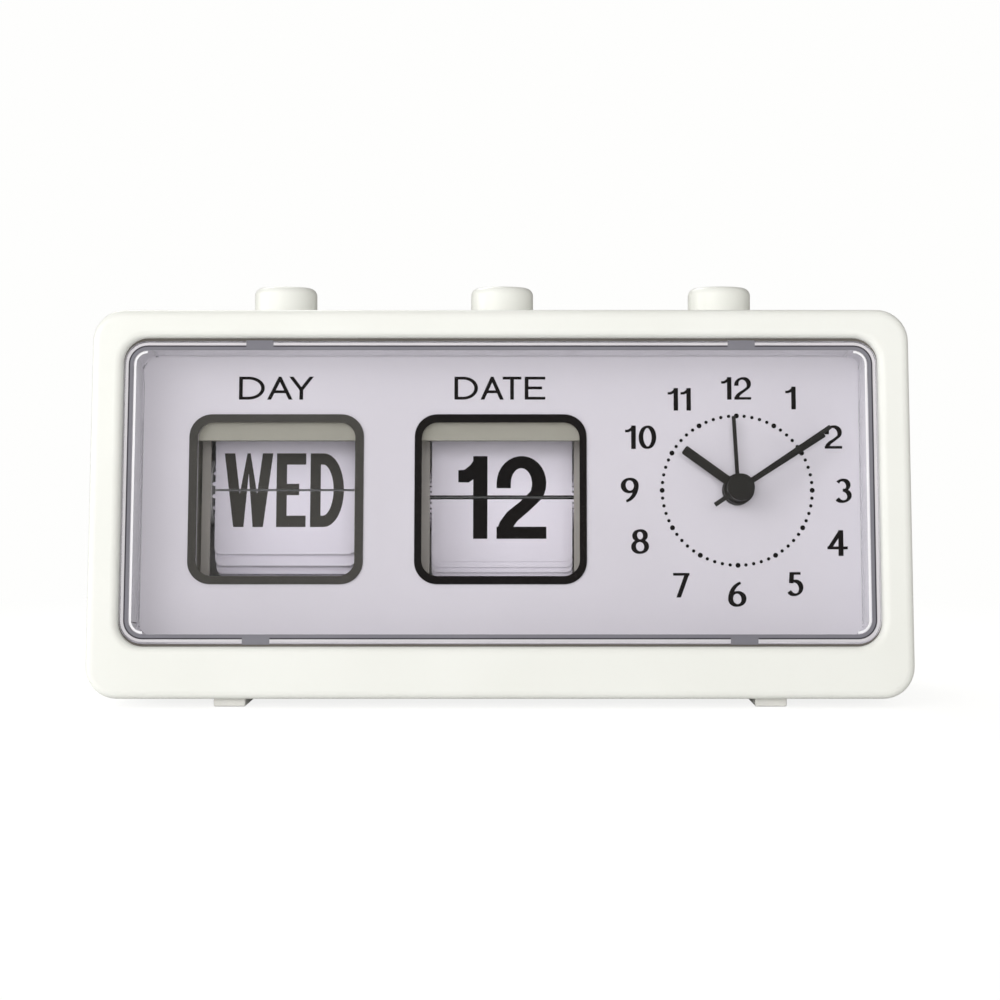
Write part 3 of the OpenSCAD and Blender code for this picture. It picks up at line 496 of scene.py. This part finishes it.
class Print:
    """Flat ink shapes gathered in one mesh, drawn in millimetres on a plane."""

    def __init__(self) -> None:
        """Start with an empty mesh."""
        self.mesh = bmesh.new()
        self.layer = 0

    def _level(self) -> float:
        """Height of the next shape, so that shapes which cross don't share a plane."""
        self.layer += 1
        return LAYER_STEP * (self.layer % LAYERS)

    def face(self, points: Sequence[Point2]) -> None:
        """Add one polygon."""
        level = self._level()
        self.mesh.faces.new([self.mesh.verts.new((x, y, level)) for x, y in points])

    def band(self, inner: Sequence[Point2], outer: Sequence[Point2], closed: bool) -> None:
        """Fill between two rows of points.

        Args:
            inner: One row.
            outer: The other row, with as many points.
            closed: Whether the rows run on from their last point to their first.
        """
        level = self._level()
        rows = [[self.mesh.verts.new((x, y, level)) for x, y in row] for row in (inner, outer)]
        count = len(inner)
        for i in range(count if closed else count - 1):
            j = (i + 1) % count
            self.mesh.faces.new((rows[0][i], rows[0][j], rows[1][j], rows[1][i]))

    def stroke(self, line: Sequence[Point2], nib: Nib) -> None:
        """Draw a line with a nib, mitred at its corners.

        Args:
            line: The middle of the stroke.
            nib: The pen.
        """
        points = [Vector(p) for p in line]
        closed = (points[0] - points[-1]).length < TINY
        if closed:
            points.pop()
        count = len(points)
        left: list[Point2] = []
        right: list[Point2] = []
        for i, here in enumerate(points):
            before = points[i - 1] if closed or i else here
            after = points[(i + 1) % count] if closed or i + 1 < count else here
            first = (here - before).normalized() if here != before else (after - here).normalized()
            second = (after - here).normalized() if after != here else first
            way = (first + second).normalized()
            across = Vector((-way.y, way.x))
            side = Vector((-second.y, second.x))
            reach = nib.reach(side) / max(across.dot(side), MITRE_LEAST)
            left.append(tuple(here + across * reach))
            right.append(tuple(here - across * reach))
        self.band(left, right, closed)

    def disc(self, mid: Point2, radius: float, count: int = 16) -> None:
        """Add a round dot."""
        self.face(arc(mid, (radius, radius), 0, RING, count)[:-1])

    def word(
        self, text: str, mid: Point2, size: Point2, nib: Nib, gap: float, stretch: float = 1.0
    ) -> None:
        """Write a word about its middle, its strokes cut level at its foot and head.

        Args:
            text: Letters and digits that have a glyph.
            mid: Middle of the word.
            size: Full width and height of the word; a width of 0 leaves it to the letters and the stretch.
            nib: The pen, as shares of the height.
            gap: Space between letters as a share of the height.
            stretch: Widening of the letters where the word's width is left to them.
        """
        tall = size[1]
        steps = [gap + KERN.get(pair, 0.0) for pair in zip(text, text[1:])] + [0.0]
        own = sum(GLYPHS[c][0] for c in text) * tall
        gaps = sum(steps) * tall
        wide = (size[0] - gaps) / own if size[0] else stretch
        pen = Nib(nib.broad * tall, nib.thin * tall, nib.slant)
        side = pen.reach(Vector((1.0, 0.0)))
        edge = pen.reach(Vector((0.0, 1.0)))
        sheet = Print()
        x = mid[0] - (own * wide + gaps) / 2
        low = mid[1] - tall / 2
        for letter, step in zip(text, steps):
            width = GLYPHS[letter][0] * tall * wide
            for stroke in GLYPHS[letter][1]:
                line = [
                    Vector((x + side + u * (width - 2 * side), low + edge + v * (tall - 2 * edge)))
                    for u, v in stroke
                ]
                sheet.stroke(self._capped(line, stroke, side, edge), pen)
            x += width + step * tall
        sheet.cut(low, True)
        sheet.cut(low + tall, False)
        self.take(sheet)

    @staticmethod
    def _capped(line: list[Vector], stroke: Sequence[Point2], side: float, edge: float) -> list[Point2]:
        """Lengthen a line's ends to the edges of its letter.

        Args:
            line: The line in millimetres.
            stroke: The same line in the letter's own box.
            side: Half width of an upright stroke.
            edge: Half height of a level stroke.

        Returns:
            The points of the longer line.
        """
        longer = [p.copy() for p in line]
        for end, beside in ((0, 1), (-1, -2)):
            way = (line[end] - line[beside]).normalized()
            if abs(way.y) < LEVEL_SLOPE and stroke[end][0] in (0.0, 1.0):
                longer[end] += way * side
            elif abs(way.y) >= LEVEL_SLOPE and stroke[end][1] in (0.0, 1.0):
                longer[end] += way * CAP_REACH * edge
        return [tuple(p) for p in longer]

    def take(self, other: "Print") -> None:
        """Add another drawing to this one and free it.

        Args:
            other: The drawing to add.
        """
        data = bpy.data.meshes.new("sheet")
        other.mesh.to_mesh(data)
        other.mesh.free()
        self.mesh.from_mesh(data)
        bpy.data.meshes.remove(data)

    def cut(self, level: float, upper: bool) -> "Print":
        """Cut the drawing at a level.

        Args:
            level: Height of the cut.
            upper: Whether the part above it is kept, or the part below.

        Returns:
            This drawing.
        """
        geometry = self.mesh.verts[:] + self.mesh.edges[:] + self.mesh.faces[:]
        bmesh.ops.bisect_plane(
            self.mesh,
            geom=geometry,
            plane_co=(0, level, 0),
            plane_no=(0, 1, 0),
            clear_inner=upper,
            clear_outer=not upper,
        )
        return self

    def finish(self, name: str, place: Matrix, thick: float = 0.02) -> bpy.types.Object:
        """Give the ink its thickness and put it on its plane.

        Args:
            name: Name of the piece.
            place: Transform from the drawing's millimetres to the clock's metres.
            thick: Thickness of the ink in millimetres.

        Returns:
            The piece.
        """
        for flat in self.mesh.faces:
            flat.normal_update()
            if flat.normal.z < 0:
                flat.normal_flip()
        bmesh.ops.solidify(self.mesh, geom=self.mesh.faces[:], thickness=thick)
        low = min(v.co.z for v in self.mesh.verts)
        lift = Matrix.Translation((0, 0, INK_GAP - low))
        bmesh.ops.transform(self.mesh, matrix=place @ lift, verts=self.mesh.verts[:])
        bmesh.ops.recalc_face_normals(self.mesh, faces=self.mesh.faces[:])
        data = bpy.data.meshes.new(name)
        self.mesh.to_mesh(data)
        self.mesh.free()
        piece = bpy.data.objects.new(name, data)
        bpy.context.scene.collection.objects.link(piece)
        return piece


def front_plane(depth: float, x: float = 0.0, z: float = 0.0) -> Matrix:
    """Transform of a drawing that faces forwards on a plane of the leaning frame.

    Args:
        depth: Millimetres behind the front face.
        x: Sideways place of the drawing's origin.
        z: Height of the drawing's origin along the face.

    Returns:
        The transform to the clock's metres.
    """
    return FACE.matrix() @ Matrix.Translation((x, depth, z)) @ Matrix.Rotation(math.radians(90), 4, "X")


CORNER_STEPS = 10


def rounded_loop(width: float, height: float, radius: float, mid: Point2) -> list[Point2]:
    """Points round a rectangle with rounded corners.

    Args:
        width: Full width.
        height: Full height.
        radius: Corner radius.
        mid: Middle of the rectangle.

    Returns:
        The points, anticlockwise.
    """
    loop: list[Point2] = []
    for sx, sz, start in ((1, 1, 0), (-1, 1, 90), (-1, -1, 180), (1, -1, 270)):
        corner = (mid[0] + sx * (width / 2 - radius), mid[1] + sz * (height / 2 - radius))
        loop += arc(corner, (radius, radius), start, start + 90, CORNER_STEPS)
    return loop


FLAT_ANGLE = 0.5
NORMAL_WEIGHT = 60


def soften(piece: bpy.types.Object, width: float, segments: int = 3, angle: float = 35.0) -> None:
    """Round the edges of a CAD node by modifiers.

    Args:
        piece: The node.
        width: Width of the rounding in millimetres.
        segments: Steps of the rounding.
        angle: Edges sharper than this are rounded.
    """
    weld = piece.modifiers.new("weld", "WELD")
    weld.merge_threshold = TINY
    flat = piece.modifiers.new("flat", "DECIMATE")
    flat.decimate_type = "DISSOLVE"
    flat.angle_limit = math.radians(FLAT_ANGLE)
    bevel = piece.modifiers.new("edge", "BEVEL")
    bevel.width = width * MM
    bevel.segments = segments
    bevel.limit_method = "ANGLE"
    bevel.angle_limit = math.radians(angle)
    bevel.use_clamp_overlap = True
    bevel.harden_normals = False
    normal = piece.modifiers.new("normal", "WEIGHTED_NORMAL")
    normal.keep_sharp = False
    normal.weight = NORMAL_WEIGHT
    for polygon in piece.data.polygons:
        polygon.use_smooth = True


@dataclass(frozen=True)
class EdgeRing:
    """A closed edge that is rounded by cutting a hollowed ring from it.

    The ring's section is drawn from the edge: inward across the face, and down the wall beside it.
    """

    name: str
    radius: float
    place: Callable[[float, float], list[Vector]]
    steps: int = 7
    spare: float = 0.6
    over: float = 0.3
    skim: float = 0.02

    def _section(self) -> list[Point2]:
        """The cutter's section: a hollow quarter round, closed outside the edge.

        Returns:
            The points, as millimetres inward and down.
        """
        r = self.radius
        run = r + self.over
        spare = self.spare
        hollow = arc((r, r), (r, r), 270, 180, self.steps)
        outside = [(-self.skim, run), (-spare, run), (-spare, -spare), (run, -spare)]
        return [(run, -self.skim)] + hollow + outside

    def cut(self, piece: bpy.types.Object) -> None:
        """Round this edge of a CAD node by a modifier.

        Args:
            piece: The node.
        """
        mesh = bmesh.new()
        rows = [[mesh.verts.new(v) for v in self.place(inward, down)] for inward, down in self._section()]
        for i, row in enumerate(rows):
            after = rows[(i + 1) % len(rows)]
            for j in range(len(row)):
                k = (j + 1) % len(row)
                mesh.faces.new((row[j], row[k], after[k], after[j])).smooth = True
        bmesh.ops.recalc_face_normals(mesh, faces=mesh.faces[:])
        data = bpy.data.meshes.new(self.name)
        mesh.to_mesh(data)
        mesh.free()
        cutter = bpy.data.objects.new(self.name, data)
        bpy.context.scene.collection.objects.link(cutter)
        cutter.hide_render = True
        cutter.hide_viewport = True
        cutter.parent = piece
        cutter.matrix_parent_inverse = piece.matrix_world.inverted()
        cut = piece.modifiers.new(self.name, "BOOLEAN")
        cut.operation = "DIFFERENCE"
        cut.solver = "EXACT"
        cut.object = cutter


@dataclass
class CaseEdges:
    """The rounded edges of the two case shells, the lens and the buttons."""

    width: float = 180.0
    height: float = 85.0
    depth: float = 64.0
    corner: float = 7.0
    lens: Point2 = (166.3, 67.87)
    lens_mid: float = 45.38
    lens_corner: float = 5.45
    lens_set: float = 2.0
    fit: float = 0.15
    case_edge: float = 1.8
    opening_edge: float = 1.6
    lens_edge: float = 0.9
    button_edge: float = 1.8
    button_steps: int = 48
    split_angle: float = 32.0
    flat: float = 0.9998

    def _outline(self, inward: float) -> list[Point2]:
        """The case's outline seen from the front, drawn inwards.

        Args:
            inward: Millimetres inside the outline.

        Returns:
            The points.
        """
        middle = (0.0, FACE.base_z + self.height / 2)
        size = (self.width - 2 * inward, self.height - 2 * inward)
        return rounded_loop(size[0], size[1], self.corner - inward, middle)

    def _front(self, inward: float, down: float) -> list[Vector]:
        """Points by the outer edge of the leaning face.

        Args:
            inward: Millimetres inward from the edge.
            down: Millimetres down from the edge.

        Returns:
            The points in metres.
        """
        turn = math.radians(FACE.lean)
        level = FACE.front_y + down / math.cos(turn)
        outline = self._outline(inward)
        return [Vector((x, level + (z - FACE.base_z) * math.tan(turn), z)) * MM for x, z in outline]

    def _back(self, inward: float, down: float) -> list[Vector]:
        """Points by the outer edge of the back."""
        return [Vector((x, self.depth / 2 - down, z)) * MM for x, z in self._outline(inward)]

    def _by_lens(self, reach: float, depth: float) -> list[Vector]:
        """Points round the lens opening.

        Args:
            reach: Millimetres inside the opening.
            depth: Millimetres behind the front face.

        Returns:
            The points in metres.
        """
        wide, tall = (side - 2 * reach for side in self.lens)
        loop = rounded_loop(wide, tall, self.lens_corner - reach, (0.0, self.lens_mid))
        return [FACE.matrix() @ Vector((x, depth, z)) for x, z in loop]

    def _opening(self, inward: float, down: float) -> list[Vector]:
        """Points by the edge of the lens opening."""
        return self._by_lens(-inward, down)

    def _lens(self, inward: float, down: float) -> list[Vector]:
        """Points by the front edge of the lens."""
        return self._by_lens(self.fit + inward, self.lens_set + down)

    def _button(self, piece: bpy.types.Object) -> Callable[[float, float], list[Vector]]:
        """Points by the top edge of a button.

        Args:
            piece: The button's node.

        Returns:
            The function that places them, from millimetres inwards and down.
        """
        corners = [piece.matrix_world @ Vector(c) for c in piece.bound_box]
        low = Vector([min(c[i] for c in corners) for i in range(3)])
        high = Vector([max(c[i] for c in corners) for i in range(3)])
        middle = (low + high) / 2
        radius = (high.x - low.x) / 2

        def place(inward: float, down: float) -> list[Vector]:
            """Points of one circle of the ring.

            Args:
                inward: Millimetres inward from the edge.
                down: Millimetres down from the edge.

            Returns:
                The points in metres.
            """
            reach = radius - inward * MM
            loop = arc((middle.x, middle.y), (reach, reach), 0, RING, self.button_steps)[:-1]
            return [Vector((x, y, high.z - down * MM)) for x, y in loop]

        return place

    def build(self) -> None:
        """Round the edges of both shells, the lens and the buttons."""
        rings = {
            "front_case": (
                EdgeRing("front_edge", self.case_edge, self._front),
                EdgeRing("lens_edge", self.opening_edge, self._opening),
            ),
            "rear_case": (EdgeRing("back_edge", self.case_edge, self._back),),
            "front_lens": (EdgeRing("lens_rim", self.lens_edge, self._lens),),
        }
        for name in ("day_button", "date_button", "snooze_button"):
            place = self._button(frame["nodes"][name])
            rings[name] = (EdgeRing(f"{name}_edge", self.button_edge, place),)
        lean = FACE.matrix().to_3x3().normalized() @ Vector((0.0, 1.0, 0.0))
        for name, edges in rings.items():
            piece = frame["nodes"][name]
            weld = piece.modifiers.new("weld", "WELD")
            weld.merge_threshold = TINY
            for edge in edges:
                edge.cut(piece)
            part = piece.modifiers.new("part", "EDGE_SPLIT")
            part.split_angle = math.radians(self.split_angle)
            normal = piece.modifiers.new("normal", "WEIGHTED_NORMAL")
            normal.keep_sharp = True
            normal.weight = NORMAL_WEIGHT
            # Flat faces aren't smoothed, so that the round beside them doesn't streak across them.
            for polygon in piece.data.polygons:
                facing = [*polygon.normal, polygon.normal.dot(lean)]
                polygon.use_smooth = max(abs(share) for share in facing) < self.flat
            LOG.info("%s: rounded", name)


@dataclass(frozen=True)
class RimLine:
    """A line of the lens rim: its way inwards from the lens edge and its depth under the lens front.

    A line with ends_only runs along the two short sides and their corners alone.
    """

    name: str
    start: float
    end: float
    finish: str
    depth: float = 0.0
    ends_only: bool = False


@dataclass
class LensRim:
    """Lines of painted shade and painted highlight round the lens, standing in for its refraction, and the
    clips that hold it, seen through its wall.
    """

    palette: Palette
    edges: CaseEdges
    lines: tuple[RimLine, ...] = (
        # Painted shade in the gap between the lens and the case.
        RimLine("lens_gap_shade", -0.15, 0.12, "rim_gap_shade", 0.1),
        # A pale painted highlight along the lens's edge.
        RimLine("lens_pale_highlight", 0.5, 1.12, "rim_pale_highlight"),
        # A dark line of painted shade where the lens's front meets its wall.
        RimLine("lens_wall_shade_line", 1.12, 1.45, "rim_dark_shade"),
        # A grey band of painted shade on the lens wall.
        RimLine("lens_shade", 1.45, 2.2, "rim_grey_shade_and_clips"),
        # A painted glint on the short sides and their corners.
        RimLine("lens_glint", 2.35, 2.85, "rim_white_glint", ends_only=True),
    )
    ease: Point2 = (-0.25, 0.3)
    clip_x: float = 53.2
    clip: Point2 = (6.0, 1.7)
    clip_in: float = 1.3
    clip_corner: float = 0.2
    clip_depth: float = -0.03

    def _keep(self, sheet: Print, name: str, finish: str, depth: float) -> None:
        """Finish a drawing as a piece of the lens.

        Args:
            sheet: The drawing.
            name: Name of the piece.
            finish: Name of its finish.
            depth: Millimetres under the lens front.
        """
        piece = sheet.finish(name, front_plane(self.edges.lens_set + depth))
        # The lines of painted light and shade, and the clips, cast no shadow.
        piece.visible_shadow = False
        self.palette.dress(piece, finish)
        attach(piece, "case")

    def _loop(self, inward: float) -> list[Point2]:
        """The lens outline drawn inwards, eased where it's inside the lens.

        Args:
            inward: Millimetres inside the outline.

        Returns:
            The points.
        """
        reach = self.edges.fit + inward
        ease = self.ease if inward > 0 else (0.0, 0.0)
        wide = self.edges.lens[0] - 2 * (reach + ease[0])
        tall = self.edges.lens[1] - 2 * (reach + ease[1])
        return rounded_loop(wide, tall, self.edges.lens_corner - reach, (0.0, self.edges.lens_mid))

    def build(self) -> None:
        """Make the lines and the clips."""
        for line in self.lines:
            sheet = Print()
            inner, outer = self._loop(line.end), self._loop(line.start)
            if line.ends_only:
                one, three = len(inner) // 4, 3 * len(inner) // 4
                sheet.band(inner[one:three], outer[one:three], False)
                sheet.band(inner[three:] + inner[:one], outer[three:] + outer[:one], False)
            else:
                sheet.band(inner, outer, True)
            self._keep(sheet, line.name, line.finish, line.depth)
        clips = Print()
        reach = self.edges.lens[1] / 2 - self.clip_in
        for x in (-self.clip_x, self.clip_x):
            for z in (self.edges.lens_mid - reach, self.edges.lens_mid + reach):
                clips.face(rounded_loop(self.clip[0], self.clip[1], self.clip_corner, (x, z)))
        self._keep(clips, "lens_clips", "rim_grey_shade_and_clips", self.clip_depth)


@dataclass
class DialPrint:
    """What is printed on the dial plate: numerals, minute dots, window borders and labels."""

    palette: Palette
    mid: Point2 = (53.2, 46.6)
    depth: float = 14.0
    stretch: float = 1.2
    ring: float = 16.9
    nib: Nib = Nib(0.1, 0.052, 14.0)
    places: dict[str, tuple[float, float, float]] = field(
        default_factory=lambda: {
            "12": (0.05, 23.2, 5.15),
            "1": (12.35, 21.0, 5.2),
            "2": (21.85, 12.1, 5.3),
            "3": (23.95, -0.1, 5.5),
            "4": (22.4, -11.9, 5.8),
            "5": (12.85, -21.1, 5.4),
            "6": (-0.25, -23.35, 5.7),
            "7": (-12.75, -21.35, 5.5),
            "8": (-21.95, -11.55, 5.6),
            "9": (-24.2, 0.05, 5.65),
            "10": (-21.65, 12.05, 5.35),
            "11": (-12.85, 20.7, 5.15),
        }
    )
    space: float = 0.12
    dot: float = 0.39
    hour_dot: float = 0.57
    label_nib: Nib = Nib(0.08, 0.062)
    label_z: float = 69.85
    label_tall: float = 5.25
    label_space: float = 0.14
    window: Point2 = (35.6, 34.7)
    window_corner: float = 3.6
    window_mid: float = 44.65
    border_tall: float = 38.4
    border_corner: float = 5.1
    border_thick: float = 0.3

    def _keep(self, sheet: Print, name: str, finish: str, thick: float = 0.02) -> None:
        """Finish a drawing as a piece that rides on the case.

        Args:
            sheet: The drawing.
            name: Name of the piece.
            finish: Name of its finish.
            thick: Thickness of the ink in millimetres.
        """
        piece = sheet.finish(name, front_plane(self.depth), thick)
        self.palette.dress(piece, finish)
        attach(piece, "case")

    def build(self) -> None:
        """Make the dial's prints."""
        numerals = Print()
        for text, (x, z, tall) in self.places.items():
            mid = (self.mid[0] + x, self.mid[1] + z)
            numerals.word(text, mid, (0.0, tall), self.nib, self.space, self.stretch)
        self._keep(numerals, "dial_numerals", "black_ink")
        dots = Print()
        for i in range(60):
            turn = math.radians(6 * i)
            place = (self.mid[0] + self.ring * math.sin(turn), self.mid[1] + self.ring * math.cos(turn))
            dots.disc(place, self.dot if i % 5 else self.hour_dot)
        self._keep(dots, "dial_dots", "black_ink")
        labels = Print()
        for text, x, wide in (("DAY", -51.1, 16.6), ("DATE", -0.3, 20.6)):
            size = (wide, self.label_tall)
            labels.word(text, (x, self.label_z), size, self.label_nib, self.label_space)
        self._keep(labels, "dial_labels", "black_ink")
        for name, x, wide, finish in (
            # The day border is black print like the date border, drawn lighter grey as a painted sheen of
            # light reflected from the lens.
            ("day_border", -50.7, 39.4, "grey_ink_and_sheen"),
            ("date_border", -0.1, 38.8, "black_ink"),
        ):
            border = Print()
            mid = (x, self.window_mid)
            inner = rounded_loop(self.window[0], self.window[1], self.window_corner, mid)
            outer = rounded_loop(wide, self.border_tall, self.border_corner, mid)
            border.band(inner, outer, True)
            self._keep(border, name, finish, self.border_thick)


@dataclass
class CardPrint:
    """The lettering of one flip unit: today's card in two halves and the next card behind it."""

    palette: Palette
    unit: str
    x: float
    split: float
    leaves: int
    today: str
    later: str
    size: Point2
    nib: Nib
    finish: str
    leaf_depth: float = 30.0
    leaf_half: float = 0.075
    leaf_wide: float = 32.4
    pivot: float = 6.5
    gap: float = 0.25
    space: float = 0.06
    ink: float = 0.006
    cheek: Point2 = (2.0, 34.0)
    cheek_off: float = 1.5
    cheek_corner: float = 0.2
    cheek_depth: float = 27.0
    cheek_mid: float = 44.6
    cheek_thick: float = 0.4

    def _half(self, text: str, upper: bool) -> Print:
        """One half of a card, drawn about the split line.

        Args:
            text: The card's word or number.
            upper: Whether it's the upper half.

        Returns:
            The drawing.
        """
        sheet = Print()
        sheet.word(text, (0.0, 0.0), self.size, self.nib, self.space)
        return sheet.cut(self.gap if upper else -self.gap, upper)

    def _keep(self, sheet: Print, name: str, place: Matrix, body: str) -> None:
        """Finish one half as a piece that rides on a body.

        Args:
            sheet: The drawing.
            name: Name of the piece after its unit.
            place: Transform from the drawing's millimetres to the clock's metres.
            body: Name of the body.
        """
        piece = sheet.finish(f"{self.unit}_{name}", place, self.ink)
        self.palette.dress(piece, self.finish)
        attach(piece, body)

    def _cheeks(self) -> None:
        """Guide plates on both sides of the leaves, in front of the drum's flanges."""
        sheet = Print()
        for side in (-1, 1):
            mid = (side * (self.leaf_wide / 2 + self.cheek_off), 0.0)
            sheet.face(rounded_loop(self.cheek[0], self.cheek[1], self.cheek_corner, mid))
        place = front_plane(self.cheek_depth, self.x, self.cheek_mid)
        piece = sheet.finish(f"{self.unit}_cheeks", place, self.cheek_thick)
        self.palette.dress(piece, "cheek_plastic")
        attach(piece, "case")

    def build(self) -> None:
        """Make the guide plates and the four halves that can be seen as the unit turns."""
        self._cheeks()
        front = front_plane(self.leaf_depth - self.leaf_half, self.x, self.split)
        step = RING / self.leaves
        axle = self.leaf_depth + self.pivot * math.cos(math.radians(step / 2))
        about = FACE.matrix() @ Matrix.Translation((self.x, axle, self.split))
        turned = about @ Matrix.Rotation(math.radians(-step), 4, "X") @ about.inverted()
        behind = front_plane(self.leaf_depth + self.leaf_half, self.x, self.split)
        rear = behind @ Matrix.Rotation(math.pi, 4, "X")
        self._keep(self._half(self.today, True), "today_upper", front, f"{self.unit}_leaf")
        self._keep(self._half(self.today, False), "today_lower", front, f"{self.unit}_drum")
        self._keep(self._half(self.later, True), "later_upper", turned @ front, f"{self.unit}_drum")
        self._keep(self._half(self.later, False), "later_lower", rear, f"{self.unit}_leaf")


@dataclass
class Dressing:
    """Finishes and softened edges of the CAD nodes."""

    palette: Palette
    edges: dict[str, float] = field(
        default_factory=lambda: {
            "feet": 0.4,
            "battery_door": 0.4,
            "time_set_knob": 0.25,
            "alarm_set_knob": 0.25,
            "alarm_switch": 0.25,
            "second_hand": 0.12,
            "hour_hand": 0.08,
            "minute_hand": 0.08,
            "alarm_hand": 0.06,
        }
    )
    special: dict[str, str] = field(
        default_factory=lambda: {
            # The chassis takes grey plastic darkened for painted shade behind the dial.
            "flip_chassis": "chassis_plastic",
            # The date leaves take the date card with its painted shade at the split.
            "date_flip_leaf": "date_card",
            "date_leaves": "date_card",
        }
    )

    def build(self) -> None:
        """Dress each node with the finish of its slot."""
        slots = {part["node"]: part["material_slot"] for part in frame["record"]["subparts"]}
        for name, piece in frame["nodes"].items():
            self.palette.dress(piece, self.special.get(name, slots[name]))
            if name in self.edges:
                soften(piece, self.edges[name])


@dataclass(frozen=True)
class Lamp:
    """A soft rectangular light."""

    name: str
    place: tuple[float, float, float]
    aim: tuple[float, float, float]
    size: Point2
    power: float
    mirrored: bool = True

    def build(self) -> None:
        """Put the light in the scene."""
        data = bpy.data.lights.new(self.name, "AREA")
        data.shape = "RECTANGLE"
        data.size, data.size_y = self.size
        data.energy = self.power
        lamp = bpy.data.objects.new(self.name, data)
        lamp.location = self.place
        lamp.visible_glossy = self.mirrored
        lamp.visible_transmission = self.mirrored
        lamp.rotation_euler = (Vector(self.aim) - Vector(self.place)).to_track_quat("-Z", "Y").to_euler()
        bpy.context.scene.collection.objects.link(lamp)


@dataclass
class Studio:
    """A white table and backdrop, soft lights and the camera."""

    backdrop: Colour = srgb(254, 254, 253)
    ambient: float = 0.34
    surround: Colour = srgb(255, 252, 246)
    mirror: Colour = srgb(66, 64, 62)
    through: Colour = srgb(120, 120, 124)
    table: float = 6.0
    table_drop: float = 0.0001
    bounce: float = 0.8
    shade: float = 0.3
    glow: float = 0.85
    fade: Point2 = (0.1, 0.35)
    camera_at: tuple[float, float, float] = (0.006, -0.442, 0.053)
    camera_lens: float = 68.4
    camera_sensor: float = 36.0
    camera_shift: Point2 = (-0.0277, -0.0365)
    lamps: tuple[Lamp, ...] = (
        Lamp("key", (-0.75, -1.0, 0.55), (0.0, 0.0, 0.04), (0.8, 0.7), 4.9),
        Lamp("side", (-1.2, -0.1, 0.25), (0.0, 0.0, 0.06), (0.6, 0.5), 4.0),
        Lamp("rear", (-0.3, 0.75, 0.9), (0.0, 0.0, 0.05), (0.6, 0.5), 4.0),
        Lamp("front", (0.0, -1.2, 0.2), (0.0, 0.0, 0.045), (0.7, 0.5), 6.6, mirrored=False),
    )

    def _world(self) -> None:
        """A white surround, with a colour of its own for mirrors, for the lens and for the camera."""
        world = bpy.data.worlds.new("surround")
        world.use_nodes = True
        tree = world.node_tree
        tree.nodes.clear()
        path = tree.nodes.new("ShaderNodeLightPath")
        last = tree.nodes.new("ShaderNodeBackground")
        last.inputs["Color"].default_value = self.surround
        last.inputs["Strength"].default_value = self.ambient
        output = tree.nodes.new("ShaderNodeOutputWorld")
        for flag, colour in (
            ("Is Glossy Ray", self.mirror),
            ("Is Transmission Ray", self.through),
            ("Is Camera Ray", self.backdrop),
        ):
            ground = tree.nodes.new("ShaderNodeBackground")
            ground.inputs["Color"].default_value = colour
            mix = tree.nodes.new("ShaderNodeMixShader")
            tree.links.new(path.outputs[flag], mix.inputs[0])
            tree.links.new(last.outputs[0], mix.inputs[1])
            tree.links.new(ground.outputs[0], mix.inputs[2])
            last = mix
        tree.links.new(last.outputs[0], output.inputs["Surface"])
        bpy.context.scene.world = world

    def _floor(self) -> None:
        """A white table that keeps the clock's shadow."""
        bpy.ops.mesh.primitive_plane_add(size=self.table, location=(0.0, 0.0, -self.table_drop))
        floor = bpy.context.object
        floor.name = "table"
        graph = Graph("table_white")
        seen = graph.out(graph.node("ShaderNodeLightPath", {}, {}), "Is Camera Ray")
        bounce, shade = (
            graph.out(graph.node("ShaderNodeBsdfDiffuse", {}, {"Color": (grey, grey, grey, 1.0)}))
            for grey in (self.bounce, self.shade)
        )
        glow, plain = (
            graph.out(graph.node("ShaderNodeEmission", {}, {"Color": self.backdrop, "Strength": power}))
            for power in (self.glow, 1.0)
        )
        near = graph.out(graph.node("ShaderNodeAddShader", {}, {0: shade, 1: glow}))
        length = graph.node("ShaderNodeVectorMath", {"operation": "LENGTH"}, {0: graph.place()})
        far = graph.out(length, "Value").smooth(*self.fade)
        pale = graph.out(graph.node("ShaderNodeMixShader", {}, {0: far, 1: near, 2: plain}))
        both = graph.node("ShaderNodeMixShader", {}, {0: seen, 1: bounce, 2: pale})
        floor.data.materials.append(graph.surface(both))

    def _camera(self) -> None:
        """The photo's camera: level, in front of the clock, raised by its shift."""
        data = bpy.data.cameras.new("camera")
        data.sensor_width = self.camera_sensor
        data.lens = self.camera_lens
        data.shift_x, data.shift_y = self.camera_shift
        camera = bpy.data.objects.new("camera", data)
        camera.location = self.camera_at
        camera.rotation_euler = (math.radians(90), 0.0, 0.0)
        bpy.context.scene.collection.objects.link(camera)
        bpy.context.scene.camera = camera

    def build(self) -> None:
        """Set the stage."""
        self._world()
        self._floor()
        for lamp in self.lamps:
            lamp.build()
        self._camera()
        settings = bpy.context.scene.view_settings
        settings.view_transform = "Standard"
        settings.look = "None"
        settings.exposure = 0.0
        settings.gamma = 1.0


def write_sizes() -> None:
    """Define a helper that turns a box into plain lists; nothing is written."""
    def plain(box: Any) -> list[list[float]]:
        """A box as plain lists."""
        return [[float(v) for v in corner] for corner in box]


def main() -> None:
    """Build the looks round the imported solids."""
    logging.basicConfig(level=logging.INFO)
    palette = Palette()
    Dressing(palette).build()
    edges = CaseEdges()
    edges.build()
    LensRim(palette, edges).build()
    DialPrint(palette).build()
    CardPrint(
        palette, unit="day", x=-50.85, split=48.1, leaves=14, today="WED", later="THU",
        size=(27.8, 17.3), nib=Nib(0.07, 0.077), finish="grey_ink_and_sheen",
    ).build()
    CardPrint(
        palette, unit="date", x=0.0, split=DATE_SPLIT, leaves=31, today="12", later="13",
        size=(20.7, 19.4), nib=Nib(0.086, 0.073), finish="black_ink", gap=DATE_SHADED_GAP, space=0.11,
    ).build()
    Studio().build()
    write_sizes()
    LOG.info("dressed %d nodes", len(frame["nodes"]))


if __name__ == "__main__":
    main()
